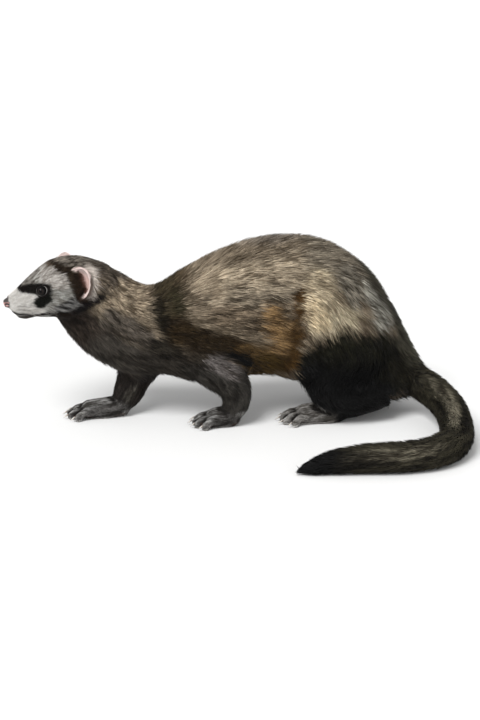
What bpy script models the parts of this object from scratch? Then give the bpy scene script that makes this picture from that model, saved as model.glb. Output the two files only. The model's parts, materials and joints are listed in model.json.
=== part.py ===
"""A ferret, life size, walking slowly with its back arched and its long tail laid round on the floor.

The animal faces -X with its left side towards -Y. The whole body is modelled in one piece, as a union
of lofted lengths and rounded masses, out to the tips of its coat. Thin round slices then part it into
the pieces that a person would name. Sizes below are in millimetres; the finished model is in metres.
"""

import math
from dataclasses import dataclass

import bmesh
import bpy
import numpy as np
from mathutils import Matrix, Vector

MM = 0.001

# Driving sizes
GAP = 0.3  # clear space between two neighbouring pieces
NOSE_TIP = Vector((-179.5, -27.0, 98.6))  # where the head's own axis starts
HEAD_YAW = math.radians(15)  # the head turns a little to its left
HEAD_PITCH = math.radians(10)  # and its nose points down
TRUNK_VOXEL = 2.4
HEAD_VOXEL = 1.6
DETAIL_VOXEL = 1.0
BODY_TRIANGLES = 4110

EYE_RADIUS = 4.1
EYE_AT = (29.0, 14.4, 6.2)  # behind the nose tip, out to the side, above the axis
EAR_AT = {"left": (56.0, 22.0, 6.5), "right": (50.5, 20.6, 10.3)}  # the right ear is pricked
EAR_REACH = (10.2, 12.6, 7.0)  # half width, half height and depth of its cup
EAR_OPENS = (0.74, 0.62, 0.24)  # outwards, forwards and up
EAR_THICKNESS = 1.6

CLAW_LENGTH = 6.2
CLAW_RADIUS = 1.05


@dataclass
class Station:
    """One cross-section: its middle, and how far it reaches sideways, up and down."""

    at: tuple
    wide: float
    up: float
    down: float = 0.0


def head_point(behind, left=0.0, above=0.0):
    """A place in the head: this far behind the nose tip, to the animal's left, and above the axis."""
    back = Vector(
        (
            math.cos(HEAD_PITCH) * math.cos(HEAD_YAW),
            math.cos(HEAD_PITCH) * math.sin(HEAD_YAW),
            math.sin(HEAD_PITCH),
        )
    )
    side = Vector((math.sin(HEAD_YAW), -math.cos(HEAD_YAW), 0.0))
    return NOSE_TIP + behind * back + left * side + above * side.cross(back)


def head_axes():
    """The head's forward, left and up directions, as the columns of a rotation."""
    origin = head_point(0)
    forward = origin - head_point(1)
    left = head_point(0, left=1) - origin
    return Matrix((forward, left, forward.cross(left))).transposed()


# The head, by distance behind the nose tip: half width, reach above and below the axis
HEAD = [
    Station(head_point(3.4), 6.6, 4.2, 6.2),
    Station(head_point(8), 9.8, 6.6, 10.2),
    Station(head_point(14), 12.6, 10.0, 14.0),
    Station(head_point(21), 14.6, 14.8, 16.4),
    Station(head_point(30), 18.9, 19.9, 19.0),
    Station(head_point(41), 24.0, 24.4, 19.8),
    Station(head_point(53), 26.4, 24.4, 21.0),
    Station(head_point(66), 25.8, 21.6, 22.0),
    Station(head_point(80), 24.0, 13.0, 22.0),
]

# From the back of the head to the root of the tail, along the middle of the body
TRUNK = [
    Station((-131, -13, 106), 24, 24, 23),
    Station((-113, -7, 91.5), 26, 34, 31.5),
    Station((-89, -3, 73), 28, 36.5, 34.5),
    Station((-61, -1, 71), 31, 36.5, 37),
    Station((-33, 0, 77), 34.5, 45, 44.5),
    Station((-4, 1, 83.5), 37, 53, 51.5),
    Station((24, 3, 87.5), 39, 58, 55.5),
    Station((51, 5, 84), 40.5, 59.5, 57),
    Station((75, 8, 76), 39, 50.5, 50),
    Station((94, 9, 63.5), 33, 38, 40),
    Station((110, 9, 50), 26, 29, 31),
    Station((124, 8, 38.5), 19.5, 22),
    Station((138, 2, 29), 14.5, 14.6),
]

TAIL = [
    Station((124, 8, 38.5), 16, 17),
    Station((137.5, 2, 29), 14.2, 14.4),
    Station((151.5, -16, 23.6), 13.2, 13.6),
    Station((161, -41, 18), 13.2, 13.4),
    Station((162.5, -69, 13.4), 13.2, 13.4),
    Station((157.5, -97, 12.2), 13.4, 13),
    Station((141.5, -117, 11.8), 13, 12.4),
    Station((119, -126, 11.4), 12.2, 11.8),
    Station((94, -128, 11), 11.8, 11.4),
    Station((68, -130, 9), 9.8, 9.2),
    Station((52, -132.5, 6), 6, 5.8),
    Station((43, -134, 3.4), 2.4, 2.8),
]


@dataclass
class Leg:
    """A leg from its top to its ankle, then the foot forward to its toes."""

    name: str
    limb: list
    foot: list
    toe_at: tuple  # where the middle toe springs from the foot
    toe_length: float
    heading: float  # the way the toes point, in degrees to the animal's left of straight ahead


LEGS = [
    Leg(
        "fore_left",
        [
            Station((-46, -17, 72), 15.5, 23),
            Station((-26, -23.5, 52), 14.5, 21),
            Station((-6, -27.5, 36), 12.6, 16.5),
            Station((-2, -28, 23), 11.2, 12.6),
            Station((-5, -27.5, 12), 9.6, 10.2),
        ],
        [
            Station((-3, -27.5, 9.6), 7.6, 7.2, 8.2),
            Station((-12, -27, 8), 10.2, 7.4, 9.4),
            Station((-22, -26.5, 6.6), 11.4, 5.8, 9),
        ],
        (-22, -26.5, 5.2),
        13.5,
        4,
    ),
    Leg(
        "fore_right",
        [
            Station((-54, 11, 68), 15.5, 22),
            Station((-71, 11, 49), 14, 20),
            Station((-82, 7, 34), 12.8, 17.6),
            Station((-87, 1, 21), 11.4, 14.6),
            Station((-92, -3, 12), 10, 12),
        ],
        [
            Station((-91, -4, 9.6), 7.8, 7.4, 8.4),
            Station((-106, -5, 7.8), 10.2, 7.2, 9.4),
            Station((-121, -6, 6.6), 11.4, 5.8, 9),
        ],
        (-121, -6, 5.0),
        14.0,
        3,
    ),
    Leg(
        "hind_left",
        [
            Station((98, -14, 62), 17, 29),
            Station((82, -21, 53), 17, 28),
            Station((64, -26, 38), 14.5, 20),
            Station((77, -26, 26), 13.5, 17),
            Station((105, -21, 21), 11, 13.5),
        ],
        [
            Station((114, -20, 21), 8.2, 8.2, 8.6),
            Station((94, -20, 15.4), 8.8, 8.2, 9.6),
            Station((71, -19, 9.8), 9.8, 8, 10),
            Station((48, -18.5, 7.2), 10.8, 6.2, 10),
        ],
        (48, -18.5, 5.6),
        15.0,
        3,
    ),
    Leg(
        "hind_right",
        [
            Station((106, 31, 62), 17, 28),
            Station((95, 37, 51), 16.5, 25),
            Station((80, 40, 37), 14, 19),
            Station((96, 39, 25), 13, 16),
            Station((118, 36, 17), 10.5, 11.5),
        ],
        [
            Station((126, 35.5, 18), 8, 7.8, 8.4),
            Station((110, 36, 12.6), 8.8, 8, 10),
            Station((92, 36.5, 9.4), 9.6, 7.8, 10.5),
            Station((77, 37, 7.4), 10.6, 6.4, 10),
        ],
        (77, 37, 5.4),
        14.5,
        -5,
    ),
]

TOES = 5
TOE_SPREAD = math.radians(11)  # between neighbours
TOE_SPACING = 4.3
TOE_RADIUS = 3.2
TOE_REACH = (0.66, 0.94, 1.0, 0.9, 0.6)  # of the middle toe's length, from the inner toe outwards

# Soft masses that the lengths leave out, on the trunk: middle, and reach along, across and up
TRUNK_MASSES = [
    ((98, -12, 42), (26, 21, 33)),
    ((112, 26, 41), (20, 21, 28)),
    ((118, -5, 29), (18, 17, 17)),
    ((56, -20, 46), (18, 16, 19)),
    ((73, 34, 46), (17, 15, 18)),
    ((84, -12, 62), (36, 27, 38)),
    ((97, 27, 60), (33, 25, 36)),
    ((-40, -14, 63), (31, 22, 30)),
    ((-56, 12, 61), (31, 22, 29)),
]

# The same on both sides of the head: behind the nose tip, out to the side, above the axis, and reach
HEAD_MASSES = [
    ((9.5, 5.2, -4.4), (7.4, 6.6, 6.6)),
    ((46, 13.5, -6), (17, 13.5, 14)),
    ((16, 1.5, -12), (9.5, 6.4, 4.6)),
]


@dataclass
class Slice:
    """A thin round slice that parts two neighbours: its middle, the way it faces, and its radius."""

    at: tuple
    facing: tuple
    radius: float


SLICES = [
    Slice((-110, -9, 92), (-0.86, -0.1, 0.5), 42),
    Slice((-85.1, -2.5, 73.7), (-0.91, 0, 0.41), 40),
    Slice((14, 2, 86), (1, 0, 0.05), 68),
    Slice((141.9, -2.3, 27.3), (1, -0.6, -0.2), 18),
    Slice((161, -56, 14.6), (-0.06, 1, 0), 20),
    Slice((130, -121.5, 11.5), (0.84, 0.54, 0), 20),
    Slice((84, -128.5, 10.5), (1, 0, 0), 17),
    Slice((-14.4, -26.3, 40.6), (0.2, -0.8, -1), 30.5),
    Slice((-5, -27.5, 14.5), (0, 0, -1), 18),
    Slice((-81, 8, 34.9), (-0.4, 0.6, -1), 25),
    Slice((-93, -2, 15), (-0.42, 0, -0.9), 19),
    Slice((78.6, -22.5, 31.6), (-0.2, -1, -1), 46),
    Slice((71.4, -22.1, 12.3), (-0.5, 0, -1), 23),
    Slice((90.4, 35.6, 35.9), (-0.2, 1, -1), 42),
    Slice((93.4, 36.7, 11.8), (-0.4, 0, -1), 26),
]

# A place inside each piece that the slices leave
MIDDLES = {
    "head": (-140, -16, 102),
    "neck": (-98, -5, 82),
    "chest": (-46, 0, 85),
    "rump": (78, 6, 80),
    "tail_root": (148, -16, 24),
    "tail_bend": (156, -92, 12),
    "tail_middle": (107, -127, 11),
    "tail_tip": (64, -130, 9),
    "foreleg_left": (-12, -28, 30),
    "forepaw_left": (-16, -27, 7),
    "foreleg_right": (-85, 4, 26),
    "forepaw_right": (-112, -5, 7),
    "hindleg_left": (84, -24, 28),
    "hindfoot_left": (58, -21, 8),
    "hindleg_right": (100, 37, 28),
    "hindfoot_right": (84, 37, 8),
}


def finished_material(name, colour, roughness):
    """A plain surface for one kind of part."""
    material = bpy.data.materials.new(name)
    material.use_nodes = True
    shader = material.node_tree.nodes["Principled BSDF"]
    shader.inputs["Base Color"].default_value = (*colour, 1.0)
    shader.inputs["Roughness"].default_value = roughness
    shader.inputs["Metallic"].default_value = 0.0
    return material


def link(name, mesh):
    obj = bpy.data.objects.new(name, mesh)
    bpy.context.scene.collection.objects.link(obj)
    return obj


def remove(obj):
    bpy.data.objects.remove(obj)


def mesh_of(bm, name):
    bmesh.ops.recalc_face_normals(bm, faces=bm.faces)
    mesh = bpy.data.meshes.new(name)
    bm.to_mesh(mesh)
    bm.free()
    return mesh


def settle(obj):
    """Replaces the object's mesh with what its modifiers make of it."""
    graph = bpy.context.evaluated_depsgraph_get()
    mesh = bpy.data.meshes.new_from_object(obj.evaluated_get(graph))
    obj.modifiers.clear()
    obj.data = mesh
    return obj


def fuse(obj, voxel, rounds):
    """Makes one closed skin of every shape in the object, and softens where they meet."""
    skin = obj.modifiers.new("fuse", "REMESH")
    skin.mode = "VOXEL"
    skin.voxel_size = voxel
    soften = obj.modifiers.new("soften", "SMOOTH")
    soften.iterations = rounds
    return settle(obj)


def smooth_through(rows, per):
    """Catmull-Rom samples through the rows of numbers, with this many steps between two rows."""
    rows = [np.array(row, float) for row in rows]
    padded = [2 * rows[0] - rows[1], *rows, 2 * rows[-1] - rows[-2]]
    found = []
    for a, b, c, d in zip(padded, padded[1:], padded[2:], padded[3:]):
        for step in range(per):
            t = step / per
            square = 2 * a - 5 * b + 4 * c - d
            cube = 3 * b - 3 * c + d - a
            found.append(0.5 * (2 * b + (c - a) * t + square * t**2 + cube * t**3))
    return [*found, rows[-1]]


def add_loft(bm, stations, per=4, sides=28, roundness=2.15, cap=0.6, cap_rings=3):
    """Skins a run of stations as one closed tube with rounded ends."""
    rows = smooth_through([(*s.at, s.wide, s.up, s.down or s.up) for s in stations], per)
    middles = [Vector(row[:3]) for row in rows]
    level = Vector((0, 0, 1))

    def ring(i, shrink, ahead):
        tangent = (middles[min(i + 1, len(rows) - 1)] - middles[max(i - 1, 0)]).normalized()
        side = tangent.cross(level).normalized()
        rise = side.cross(tangent)
        wide, up, down = rows[i][3:]
        verts = []
        for k in range(sides):
            turn = 2 * math.pi * k / sides
            c, s = math.cos(turn), math.sin(turn)
            across = wide * math.copysign(abs(c) ** (2 / roundness), c)
            over = (up if s > 0 else down) * math.copysign(abs(s) ** (2 / roundness), s)
            spot = middles[i] + tangent * ahead + shrink * (side * across + rise * over)
            verts.append(bm.verts.new(spot))
        return verts

    last = len(rows) - 1
    start_reach = cap * min(rows[0][3:])
    end_reach = cap * min(rows[last][3:])
    turns = [math.pi / 2 * (k + 1) / (cap_rings + 1) for k in range(cap_rings)]
    rings = [ring(0, math.cos(t), -start_reach * math.sin(t)) for t in reversed(turns)]
    rings += [ring(i, 1.0, 0.0) for i in range(len(rows))]
    rings += [ring(last, math.cos(t), end_reach * math.sin(t)) for t in turns]
    for near, far in zip(rings, rings[1:]):
        for k in range(sides):
            n = (k + 1) % sides
            bm.faces.new((near[k], near[n], far[n], far[k]))
    start = (middles[0] - middles[1]).normalized() * start_reach
    end = (middles[last] - middles[last - 1]).normalized() * end_reach
    for verts, spot in ((rings[0], middles[0] + start), (rings[-1], middles[last] + end)):
        pole = bm.verts.new(spot)
        for k in range(sides):
            bm.faces.new((verts[k], verts[(k + 1) % sides], pole))


def add_ball(bm, at, reach, turned):
    """A rounded mass with its own reach along three axes."""
    shape = turned.to_4x4() @ Matrix.Diagonal((*reach, 1.0))
    bmesh.ops.create_icosphere(bm, subdivisions=4, radius=1.0, matrix=Matrix.Translation(at) @ shape)


def toe_lines(leg):
    """(root, tip, direction) of each toe, from the inner one outwards."""
    outward = -1.0 if leg.name.endswith("left") else 1.0
    lines = []
    for i, reach in enumerate(TOE_REACH):
        place = i - (TOES - 1) / 2
        heading = math.radians(leg.heading) - outward * place * TOE_SPREAD
        direction = Matrix.Rotation(heading, 3, "Z") @ Vector((-1, 0, 0))
        set_back = Vector(((1 - reach) * leg.toe_length * 0.9, 0, 0))
        root = Vector(leg.toe_at) + Vector((0, outward * place * TOE_SPACING, 0)) + set_back
        lines.append((root, root + direction * leg.toe_length * (0.55 + 0.45 * reach), direction))
    return lines


def add_toe(bm, root, tip, direction):
    """A toe that arches from the foot and comes down on its pad."""
    rise = Vector((0, 0, 1))
    low = Vector((tip.x, tip.y, TOE_RADIUS - 0.75))
    stations = [
        Station(root - direction * 3 + rise * 0.6, TOE_RADIUS, TOE_RADIUS * 0.9),
        Station(root.lerp(tip, 0.5) + rise * 1.1, TOE_RADIUS * 0.95, TOE_RADIUS),
        Station(low, TOE_RADIUS * 0.85, TOE_RADIUS),
    ]
    add_loft(bm, stations, per=3, cap=0.9)


def whole_body():
    """Head, trunk, tail, legs and toes as one smooth closed mesh, flat where it meets the floor."""
    bm = bmesh.new()
    add_loft(bm, TRUNK)
    for leg in LEGS:
        add_loft(bm, leg.limb)
    for at, reach in TRUNK_MASSES:
        add_ball(bm, at, reach, Matrix.Identity(3))
    body = fuse(link("body", mesh_of(bm, "body")), TRUNK_VOXEL, 22)

    bm = bmesh.new()
    bm.from_mesh(body.data)
    add_loft(bm, HEAD)
    for (behind, out, above), reach in HEAD_MASSES:
        for side in (-1, 1):
            add_ball(bm, head_point(behind, side * out, above), reach, head_axes())
    body.data = mesh_of(bm, "body")
    fuse(body, HEAD_VOXEL, 8)

    bm = bmesh.new()
    bm.from_mesh(body.data)
    add_loft(bm, TAIL)
    for leg in LEGS:
        add_loft(bm, leg.foot)
        for root, tip, direction in toe_lines(leg):
            add_toe(bm, root, tip, direction)
    body.data = mesh_of(bm, "body")
    fuse(body, DETAIL_VOXEL, 3)

    thin = body.modifiers.new("thin", "DECIMATE")
    thin.ratio = BODY_TRIANGLES / (2 * len(body.data.polygons))
    settle(body)
    bm = bmesh.new()
    bmesh.ops.create_cube(bm, size=1.0, matrix=Matrix.Diagonal((600, 600, 40, 1)))
    bmesh.ops.translate(bm, verts=bm.verts, vec=(0, 0, -20))
    cut(body, link("floor", mesh_of(bm, "floor")))
    return body


def cut(obj, cutter):
    """Takes the cutter's shape out of the object, and the cutter away."""
    modifier = obj.modifiers.new("cut", "BOOLEAN")
    modifier.operation = "DIFFERENCE"
    modifier.object = cutter
    settle(obj)
    remove(cutter)
    return obj


def islands_of(bm):
    """The vertices of each separate body in the mesh, the body with most of them first."""
    left = set(bm.verts)
    islands = []
    while left:
        front = [left.pop()]
        island = list(front)
        while front:
            vert = front.pop()
            for edge in vert.link_edges:
                other = edge.other_vert(vert)
                if other in left:
                    left.remove(other)
                    front.append(other)
                    island.append(other)
        islands.append(island)
    return sorted(islands, key=lambda island: (-len(island), min(v.co.x for v in island)))


def keep_island(obj, wanted):
    """Leaves only one of the object's separate bodies, counted from the largest."""
    bm = bmesh.new()
    bm.from_mesh(obj.data)
    for i, island in enumerate(islands_of(bm)):
        if i != wanted:
            bmesh.ops.delete(bm, geom=island, context="VERTS")
    bm.to_mesh(obj.data)
    bm.free()
    return obj


def parted(body):
    """Slices the body, and names each piece by the place inside it."""
    for thin in SLICES:
        turned = Vector(thin.facing).to_track_quat("Z", "Y").to_matrix().to_4x4()
        bm = bmesh.new()
        bmesh.ops.create_cone(
            bm,
            cap_ends=True,
            segments=24,
            radius1=thin.radius,
            radius2=thin.radius,
            depth=GAP,
            matrix=Matrix.Translation(thin.at) @ turned,
        )
        cut(body, link("slice", mesh_of(bm, "slice")))
    bm = bmesh.new()
    bm.from_mesh(body.data)
    centres = []
    for island in islands_of(bm)[: len(MIDDLES)]:
        spots = np.array([vert.co for vert in island])
        centres.append(Vector((spots.min(axis=0) + spots.max(axis=0)) / 2))
    bm.free()
    pieces = {}
    for name, middle in MIDDLES.items():
        order = sorted(range(len(centres)), key=lambda i: (centres[i] - Vector(middle)).length)
        pieces[name] = keep_island(link(name, body.data.copy()), order[0])
    remove(body)
    return pieces


def ball(name, at, radius):
    bm = bmesh.new()
    bmesh.ops.create_uvsphere(
        bm, u_segments=14, v_segments=9, radius=radius, matrix=Matrix.Translation(at)
    )
    return link(name, mesh_of(bm, name))


def add_eyes(pieces):
    """Round eyes in sockets that clear them all round."""
    behind, out, above = EYE_AT
    for name, side in (("eye_left", 1), ("eye_right", -1)):
        at = head_point(behind, side * out, above)
        cut(pieces["head"], ball("socket", at, EYE_RADIUS + GAP))
        pieces[name] = ball(name, at, EYE_RADIUS)


def nose_pad(name, grow):
    """The bare pad: a blunt rounded wedge, broadest at its top."""
    stations = [
        Station(head_point(1.0, above=-0.6), 3.4 + grow, 2.7 + grow, 3.0 + grow),
        Station(head_point(3.0, above=-0.6), 4.7 + grow, 3.4 + grow, 3.9 + grow),
        Station(head_point(6.4, above=-0.6), 4.7 + grow, 3.4 + grow, 3.9 + grow),
    ]
    bm = bmesh.new()
    add_loft(bm, stations, per=1, sides=16, roundness=2.4, cap=0.5, cap_rings=2)
    return link(name, mesh_of(bm, name))


def add_nose(pieces):
    cut(pieces["head"], nose_pad("pocket", GAP))
    pieces["nose"] = nose_pad("nose", 0.0)


def ear_cup(name, side):
    """A shallow round cup that opens outwards and forwards, its back wall standing out of the fur."""
    out, ahead, rise = EAR_OPENS
    opens = (head_axes() @ Vector((ahead, side * out, rise))).normalized()
    crown = head_axes() @ Vector((-0.28, side * 0.22, 1.0))
    crown = (crown - opens * crown.dot(opens)).normalized()
    across = crown.cross(opens)
    turned = Matrix((across, crown, opens)).transposed().to_4x4()
    bm = bmesh.new()
    bmesh.ops.create_uvsphere(bm, u_segments=18, v_segments=12, radius=1.0)
    rim = 0.1
    kept = bm.verts[:] + bm.edges[:] + bm.faces[:]
    bmesh.ops.bisect_plane(bm, geom=kept, plane_co=(0, 0, rim), plane_no=(0, 0, 1), clear_outer=True)
    behind, aside, above = EAR_AT["left" if side > 0 else "right"]
    place = Matrix.Translation(head_point(behind, side * aside, above)) @ turned
    bmesh.ops.transform(bm, matrix=place @ Matrix.Diagonal((*EAR_REACH, 1.0)), verts=bm.verts)
    ear = link(name, mesh_of(bm, name))
    wall = ear.modifiers.new("wall", "SOLIDIFY")
    wall.thickness = EAR_THICKNESS
    wall.offset = 0.0
    wall.use_even_offset = True
    return settle(ear)


def grown(obj, name):
    """A copy of a piece that is fuller by the gap all round, to trim what stands on it."""
    bm = bmesh.new()
    bm.from_mesh(obj.data)
    bmesh.ops.remove_doubles(bm, verts=bm.verts, dist=0.01)
    bm.normal_update()
    for vert in bm.verts:
        vert.co += vert.normal * GAP * 1.15
    mesh = bpy.data.meshes.new(name)
    bm.to_mesh(mesh)
    bm.free()
    return link(name, mesh)


def add_ears(pieces, solid_head):
    for name, side in (("ear_left", 1), ("ear_right", -1)):
        pieces[name] = keep_island(cut(ear_cup(name, side), grown(solid_head, "trim")), 0)


def claw(name, tip, direction):
    """A claw that curves down from inside the toe to a blunt point."""
    root = Vector((tip.x, tip.y, TOE_RADIUS + 1.6)) - direction * 0.6
    stations = []
    for along, thick in ((0.0, 1.0), (0.55, 0.75), (1.0, 0.3)):
        at = root + direction * CLAW_LENGTH * along - Vector((0, 0, 3.0 * along**2))
        stations.append(Station(at, CLAW_RADIUS * thick * 0.8, CLAW_RADIUS * thick))
    bm = bmesh.new()
    add_loft(bm, stations, per=1, sides=6, roundness=2.0, cap=0.5, cap_rings=0)
    return link(name, mesh_of(bm, name))


def add_claws(pieces):
    for leg in LEGS:
        end, side = leg.name.split("_")
        paw = pieces[("forepaw_" if end == "fore" else "hindfoot_") + side]
        for i, (root, tip, direction) in enumerate(toe_lines(leg), start=1):
            name = f"claw_{leg.name}_{i}"
            pieces[name] = keep_island(cut(claw(name, tip, direction), grown(paw, "trim")), 0)


FINISHES = {
    "head": ("face_fur", (0.36, 0.34, 0.30), 0.9),
    "nose": ("nose_skin", (0.34, 0.17, 0.15), 0.45),
    "eye": ("eye_dark", (0.012, 0.009, 0.007), 0.08),
    "ear": ("ear_skin", (0.55, 0.40, 0.35), 0.8),
    "neck": ("body_fur", (0.15, 0.12, 0.085), 0.9),
    "chest": ("body_fur", (0.15, 0.12, 0.085), 0.9),
    "rump": ("body_fur", (0.15, 0.12, 0.085), 0.9),
    "tail": ("dark_fur", (0.05, 0.04, 0.03), 0.9),
    "foreleg": ("dark_fur", (0.05, 0.04, 0.03), 0.9),
    "forepaw": ("dark_fur", (0.05, 0.04, 0.03), 0.9),
    "hindleg": ("dark_fur", (0.05, 0.04, 0.03), 0.9),
    "hindfoot": ("dark_fur", (0.05, 0.04, 0.03), 0.9),
    "claw": ("claw_horn", (0.52, 0.47, 0.38), 0.4),
}


def finish(pieces):
    """Gives each piece its material and real size, and stands them all on the model's origin."""
    made = {}
    for name, obj in pieces.items():
        material, colour, roughness = FINISHES[name.split("_")[0]]
        if material not in made:
            made[material] = finished_material(material, colour, roughness)
        obj.data.materials.clear()
        obj.data.materials.append(made[material])
        obj.data.transform(Matrix.Scale(MM, 4))
        obj.data.shade_smooth()
        obj.data.set_sharp_from_angle(angle=math.radians(50))
    spots = np.array([vert.co for obj in pieces.values() for vert in obj.data.vertices])
    low, high = spots.min(axis=0), spots.max(axis=0)
    stand = link("ferret", None)
    stand.location = (-(low[0] + high[0]) / 2, -(low[1] + high[1]) / 2, -low[2])
    for obj in pieces.values():
        obj.parent = stand


def main():
    for obj in list(bpy.data.objects):
        remove(obj)
    pieces = parted(whole_body())
    solid_head = link("solid_head", pieces["head"].data.copy())
    add_eyes(pieces)
    add_nose(pieces)
    add_ears(pieces, solid_head)
    remove(solid_head)
    add_claws(pieces)
    finish(pieces)


main()
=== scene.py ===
# %% [markdown]
# # A ferret, walking slowly, as a life-size museum model
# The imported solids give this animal's true outline, out to the tips of its coat. This lesson dresses
# them: one skin over the flesh, a coat of small tufts laid on it, and eyes, nose, claws and whiskers.
# Every cell makes one thing and prints what it measured, so it can be read and run from the top.

# %% Load the frame
import json
import math

import bmesh
import bpy
import numpy as np
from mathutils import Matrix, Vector
from mathutils.bvhtree import BVHTree

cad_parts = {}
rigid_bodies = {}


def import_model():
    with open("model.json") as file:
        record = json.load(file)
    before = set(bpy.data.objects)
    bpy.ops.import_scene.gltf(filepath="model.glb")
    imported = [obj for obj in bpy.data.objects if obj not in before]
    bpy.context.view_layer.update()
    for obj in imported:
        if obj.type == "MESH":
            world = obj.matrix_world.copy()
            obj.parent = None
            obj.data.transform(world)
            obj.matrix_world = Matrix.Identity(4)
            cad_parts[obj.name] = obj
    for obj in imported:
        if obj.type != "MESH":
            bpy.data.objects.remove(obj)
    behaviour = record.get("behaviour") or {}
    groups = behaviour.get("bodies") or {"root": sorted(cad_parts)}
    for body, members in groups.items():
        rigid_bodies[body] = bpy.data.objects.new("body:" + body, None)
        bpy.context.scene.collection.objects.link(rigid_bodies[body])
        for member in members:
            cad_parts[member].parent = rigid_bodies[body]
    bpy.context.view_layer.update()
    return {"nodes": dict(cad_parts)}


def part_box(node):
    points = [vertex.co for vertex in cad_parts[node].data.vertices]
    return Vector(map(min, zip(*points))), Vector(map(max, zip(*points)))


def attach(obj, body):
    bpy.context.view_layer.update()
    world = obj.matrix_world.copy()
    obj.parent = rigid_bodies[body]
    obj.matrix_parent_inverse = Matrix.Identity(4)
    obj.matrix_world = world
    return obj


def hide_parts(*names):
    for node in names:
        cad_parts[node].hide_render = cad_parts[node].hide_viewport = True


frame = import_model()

# %% [markdown]
# ## Where things are
# A maker measures an animal in millimetres and speaks of the head in its own terms: so far behind the
# nose, so far out to the side, so far above the middle line. The two eyes give the head's turn, and
# from there the sketch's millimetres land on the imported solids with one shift.

# %% The sketch's millimetres and the head's own axes
MM = 0.001
SKETCH_NOSE = Vector((-179.5, -27.0, 98.6))
HEAD_PITCH = math.radians(10)
EYE_PLACE = (29.0, 14.4, 6.2)  # behind the nose, out to the side, above the middle line
EYE_RADIUS = 4.1
SIDES = {"left": 1, "right": -1}


def centre_of(node):
    low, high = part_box(node)
    return (low + high) / 2


eye_centre = {name: centre_of("eye_" + name) for name in SIDES}
head_left = (eye_centre["left"] - eye_centre["right"]).normalized()
level_back = Vector((-head_left.y, head_left.x, 0))
head_back = level_back * math.cos(HEAD_PITCH) + Vector((0, 0, math.sin(HEAD_PITCH)))
head_up = head_left.cross(head_back)
nose_origin = (eye_centre["left"] + eye_centre["right"]) / 2
nose_origin -= (head_back * EYE_PLACE[0] + head_up * EYE_PLACE[2]) * MM
SHIFT = nose_origin - SKETCH_NOSE * MM


def head_point(behind, left=0.0, above=0.0):
    """A place in the head, in metres in the model's frame."""
    return nose_origin + (head_back * behind + head_left * left + head_up * above) * MM


def smooth(value, low, high):
    """0 below low, 1 above high, and a soft step between them."""
    t = np.clip((value - low) / (high - low), 0, 1)
    return t * t * (3 - 2 * t)


print("shift in mm:", [round(v / MM, 2) for v in SHIFT])

# %% [markdown]
# ## Floor, light and camera
# The floor is a plain pale sheet and the light is one big soft lamp with a bright room round it, as in
# a photographer's tent. The camera stands level with the animal's near side and looks a little down.

# %% An empty scene, and helpers for objects, nodes and materials
scene = bpy.context.scene
for stray in [o for o in bpy.data.objects if o.type in ("LIGHT", "CAMERA") or o.name == "Cube"]:
    bpy.data.objects.remove(stray)


def link(name, data):
    obj = bpy.data.objects.new(name, data)
    scene.collection.objects.link(obj)
    return obj


def add(tree, kind, feeds=None, **settings):
    """Adds a node, with its settings, and gives each named input a value or a link."""
    node = tree.nodes.new(kind)
    for key, value in settings.items():
        setattr(node, key, value)
    for key, value in (feeds or {}).items():
        socket = node.inputs[key]
        if isinstance(value, bpy.types.NodeSocket):
            tree.links.new(value, socket)
        else:
            socket.default_value = value
    return node


def new_material(name, roughness, specular=0.5):
    """A material with only its main shader, whose plain values sit on the shader's own sockets."""
    material = bpy.data.materials.new(name)
    material.use_nodes = True
    shader = material.node_tree.nodes["Principled BSDF"]
    shader.inputs["Roughness"].default_value = roughness
    shader.inputs["Specular IOR Level"].default_value = specular
    return material, material.node_tree, shader


# %% Lay the floor
floor_material, _, floor_shader = new_material("pale_floor", 0.7, 0.2)
floor_shader.inputs["Base Color"].default_value = (0.70, 0.70, 0.695, 1)
bm = bmesh.new()
bmesh.ops.create_grid(bm, x_segments=1, y_segments=1, size=8.0)
floor_mesh = bpy.data.meshes.new("floor")
bm.to_mesh(floor_mesh)
bm.free()
floor = link("floor", floor_mesh)
floor_mesh.materials.append(floor_material)
print("floor corners:", [tuple(round(v, 1) for v in vert.co) for vert in floor_mesh.vertices])

# %% Light the room
world = bpy.data.worlds.new("room")
scene.world = world
world.use_nodes = True
world.node_tree.nodes["Background"].inputs["Color"].default_value = (1.0, 1.0, 1.0, 1)
world.node_tree.nodes["Background"].inputs["Strength"].default_value = 0.65


def lamp(name, towards, strength, spread):
    """A broad lamp far away, so that the whole floor is lit alike."""
    light = bpy.data.lights.new(name, "SUN")
    light.energy = strength
    light.angle = math.radians(spread)
    obj = link(name, light)
    obj.rotation_euler = Vector(towards).to_track_quat("-Z", "Y").to_euler()
    return obj


lamp("key", (0.42, 0.62, -0.85), 3.5, 30)
lamp("fill", (-0.5, 0.85, -0.35), 0.9, 60)

# %% Stand the camera
CAMERA_BACK = 1130.0
CAMERA_HIGH = 394.0
CAMERA_DOWN = math.radians(17.18)
camera = link("camera", bpy.data.cameras.new("camera"))
camera.data.lens = 75
camera.data.sensor_width = 36
camera.data.clip_start = 0.01
camera.location = SHIFT + Vector((0, -CAMERA_BACK, CAMERA_HIGH)) * MM
camera.rotation_euler = (math.pi / 2 - CAMERA_DOWN, 0, 0)
scene.camera = camera
scene.view_settings.view_transform = "Standard"
print("camera at", [round(v, 3) for v in camera.location])

# %% [markdown]
# ## The skin
# On the real animal one skin runs over everything, so no seam may show. The flesh solids are copied,
# welded, and grown by a hair's breadth so that they touch, and a voxel remesh turns them into one
# closed surface. Eyes and nose go in too, only to fill their sockets. The fine grid stays on the head,
# ears and feet, and a Decimate modifier thins the rest, which the coat will hide.

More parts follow.
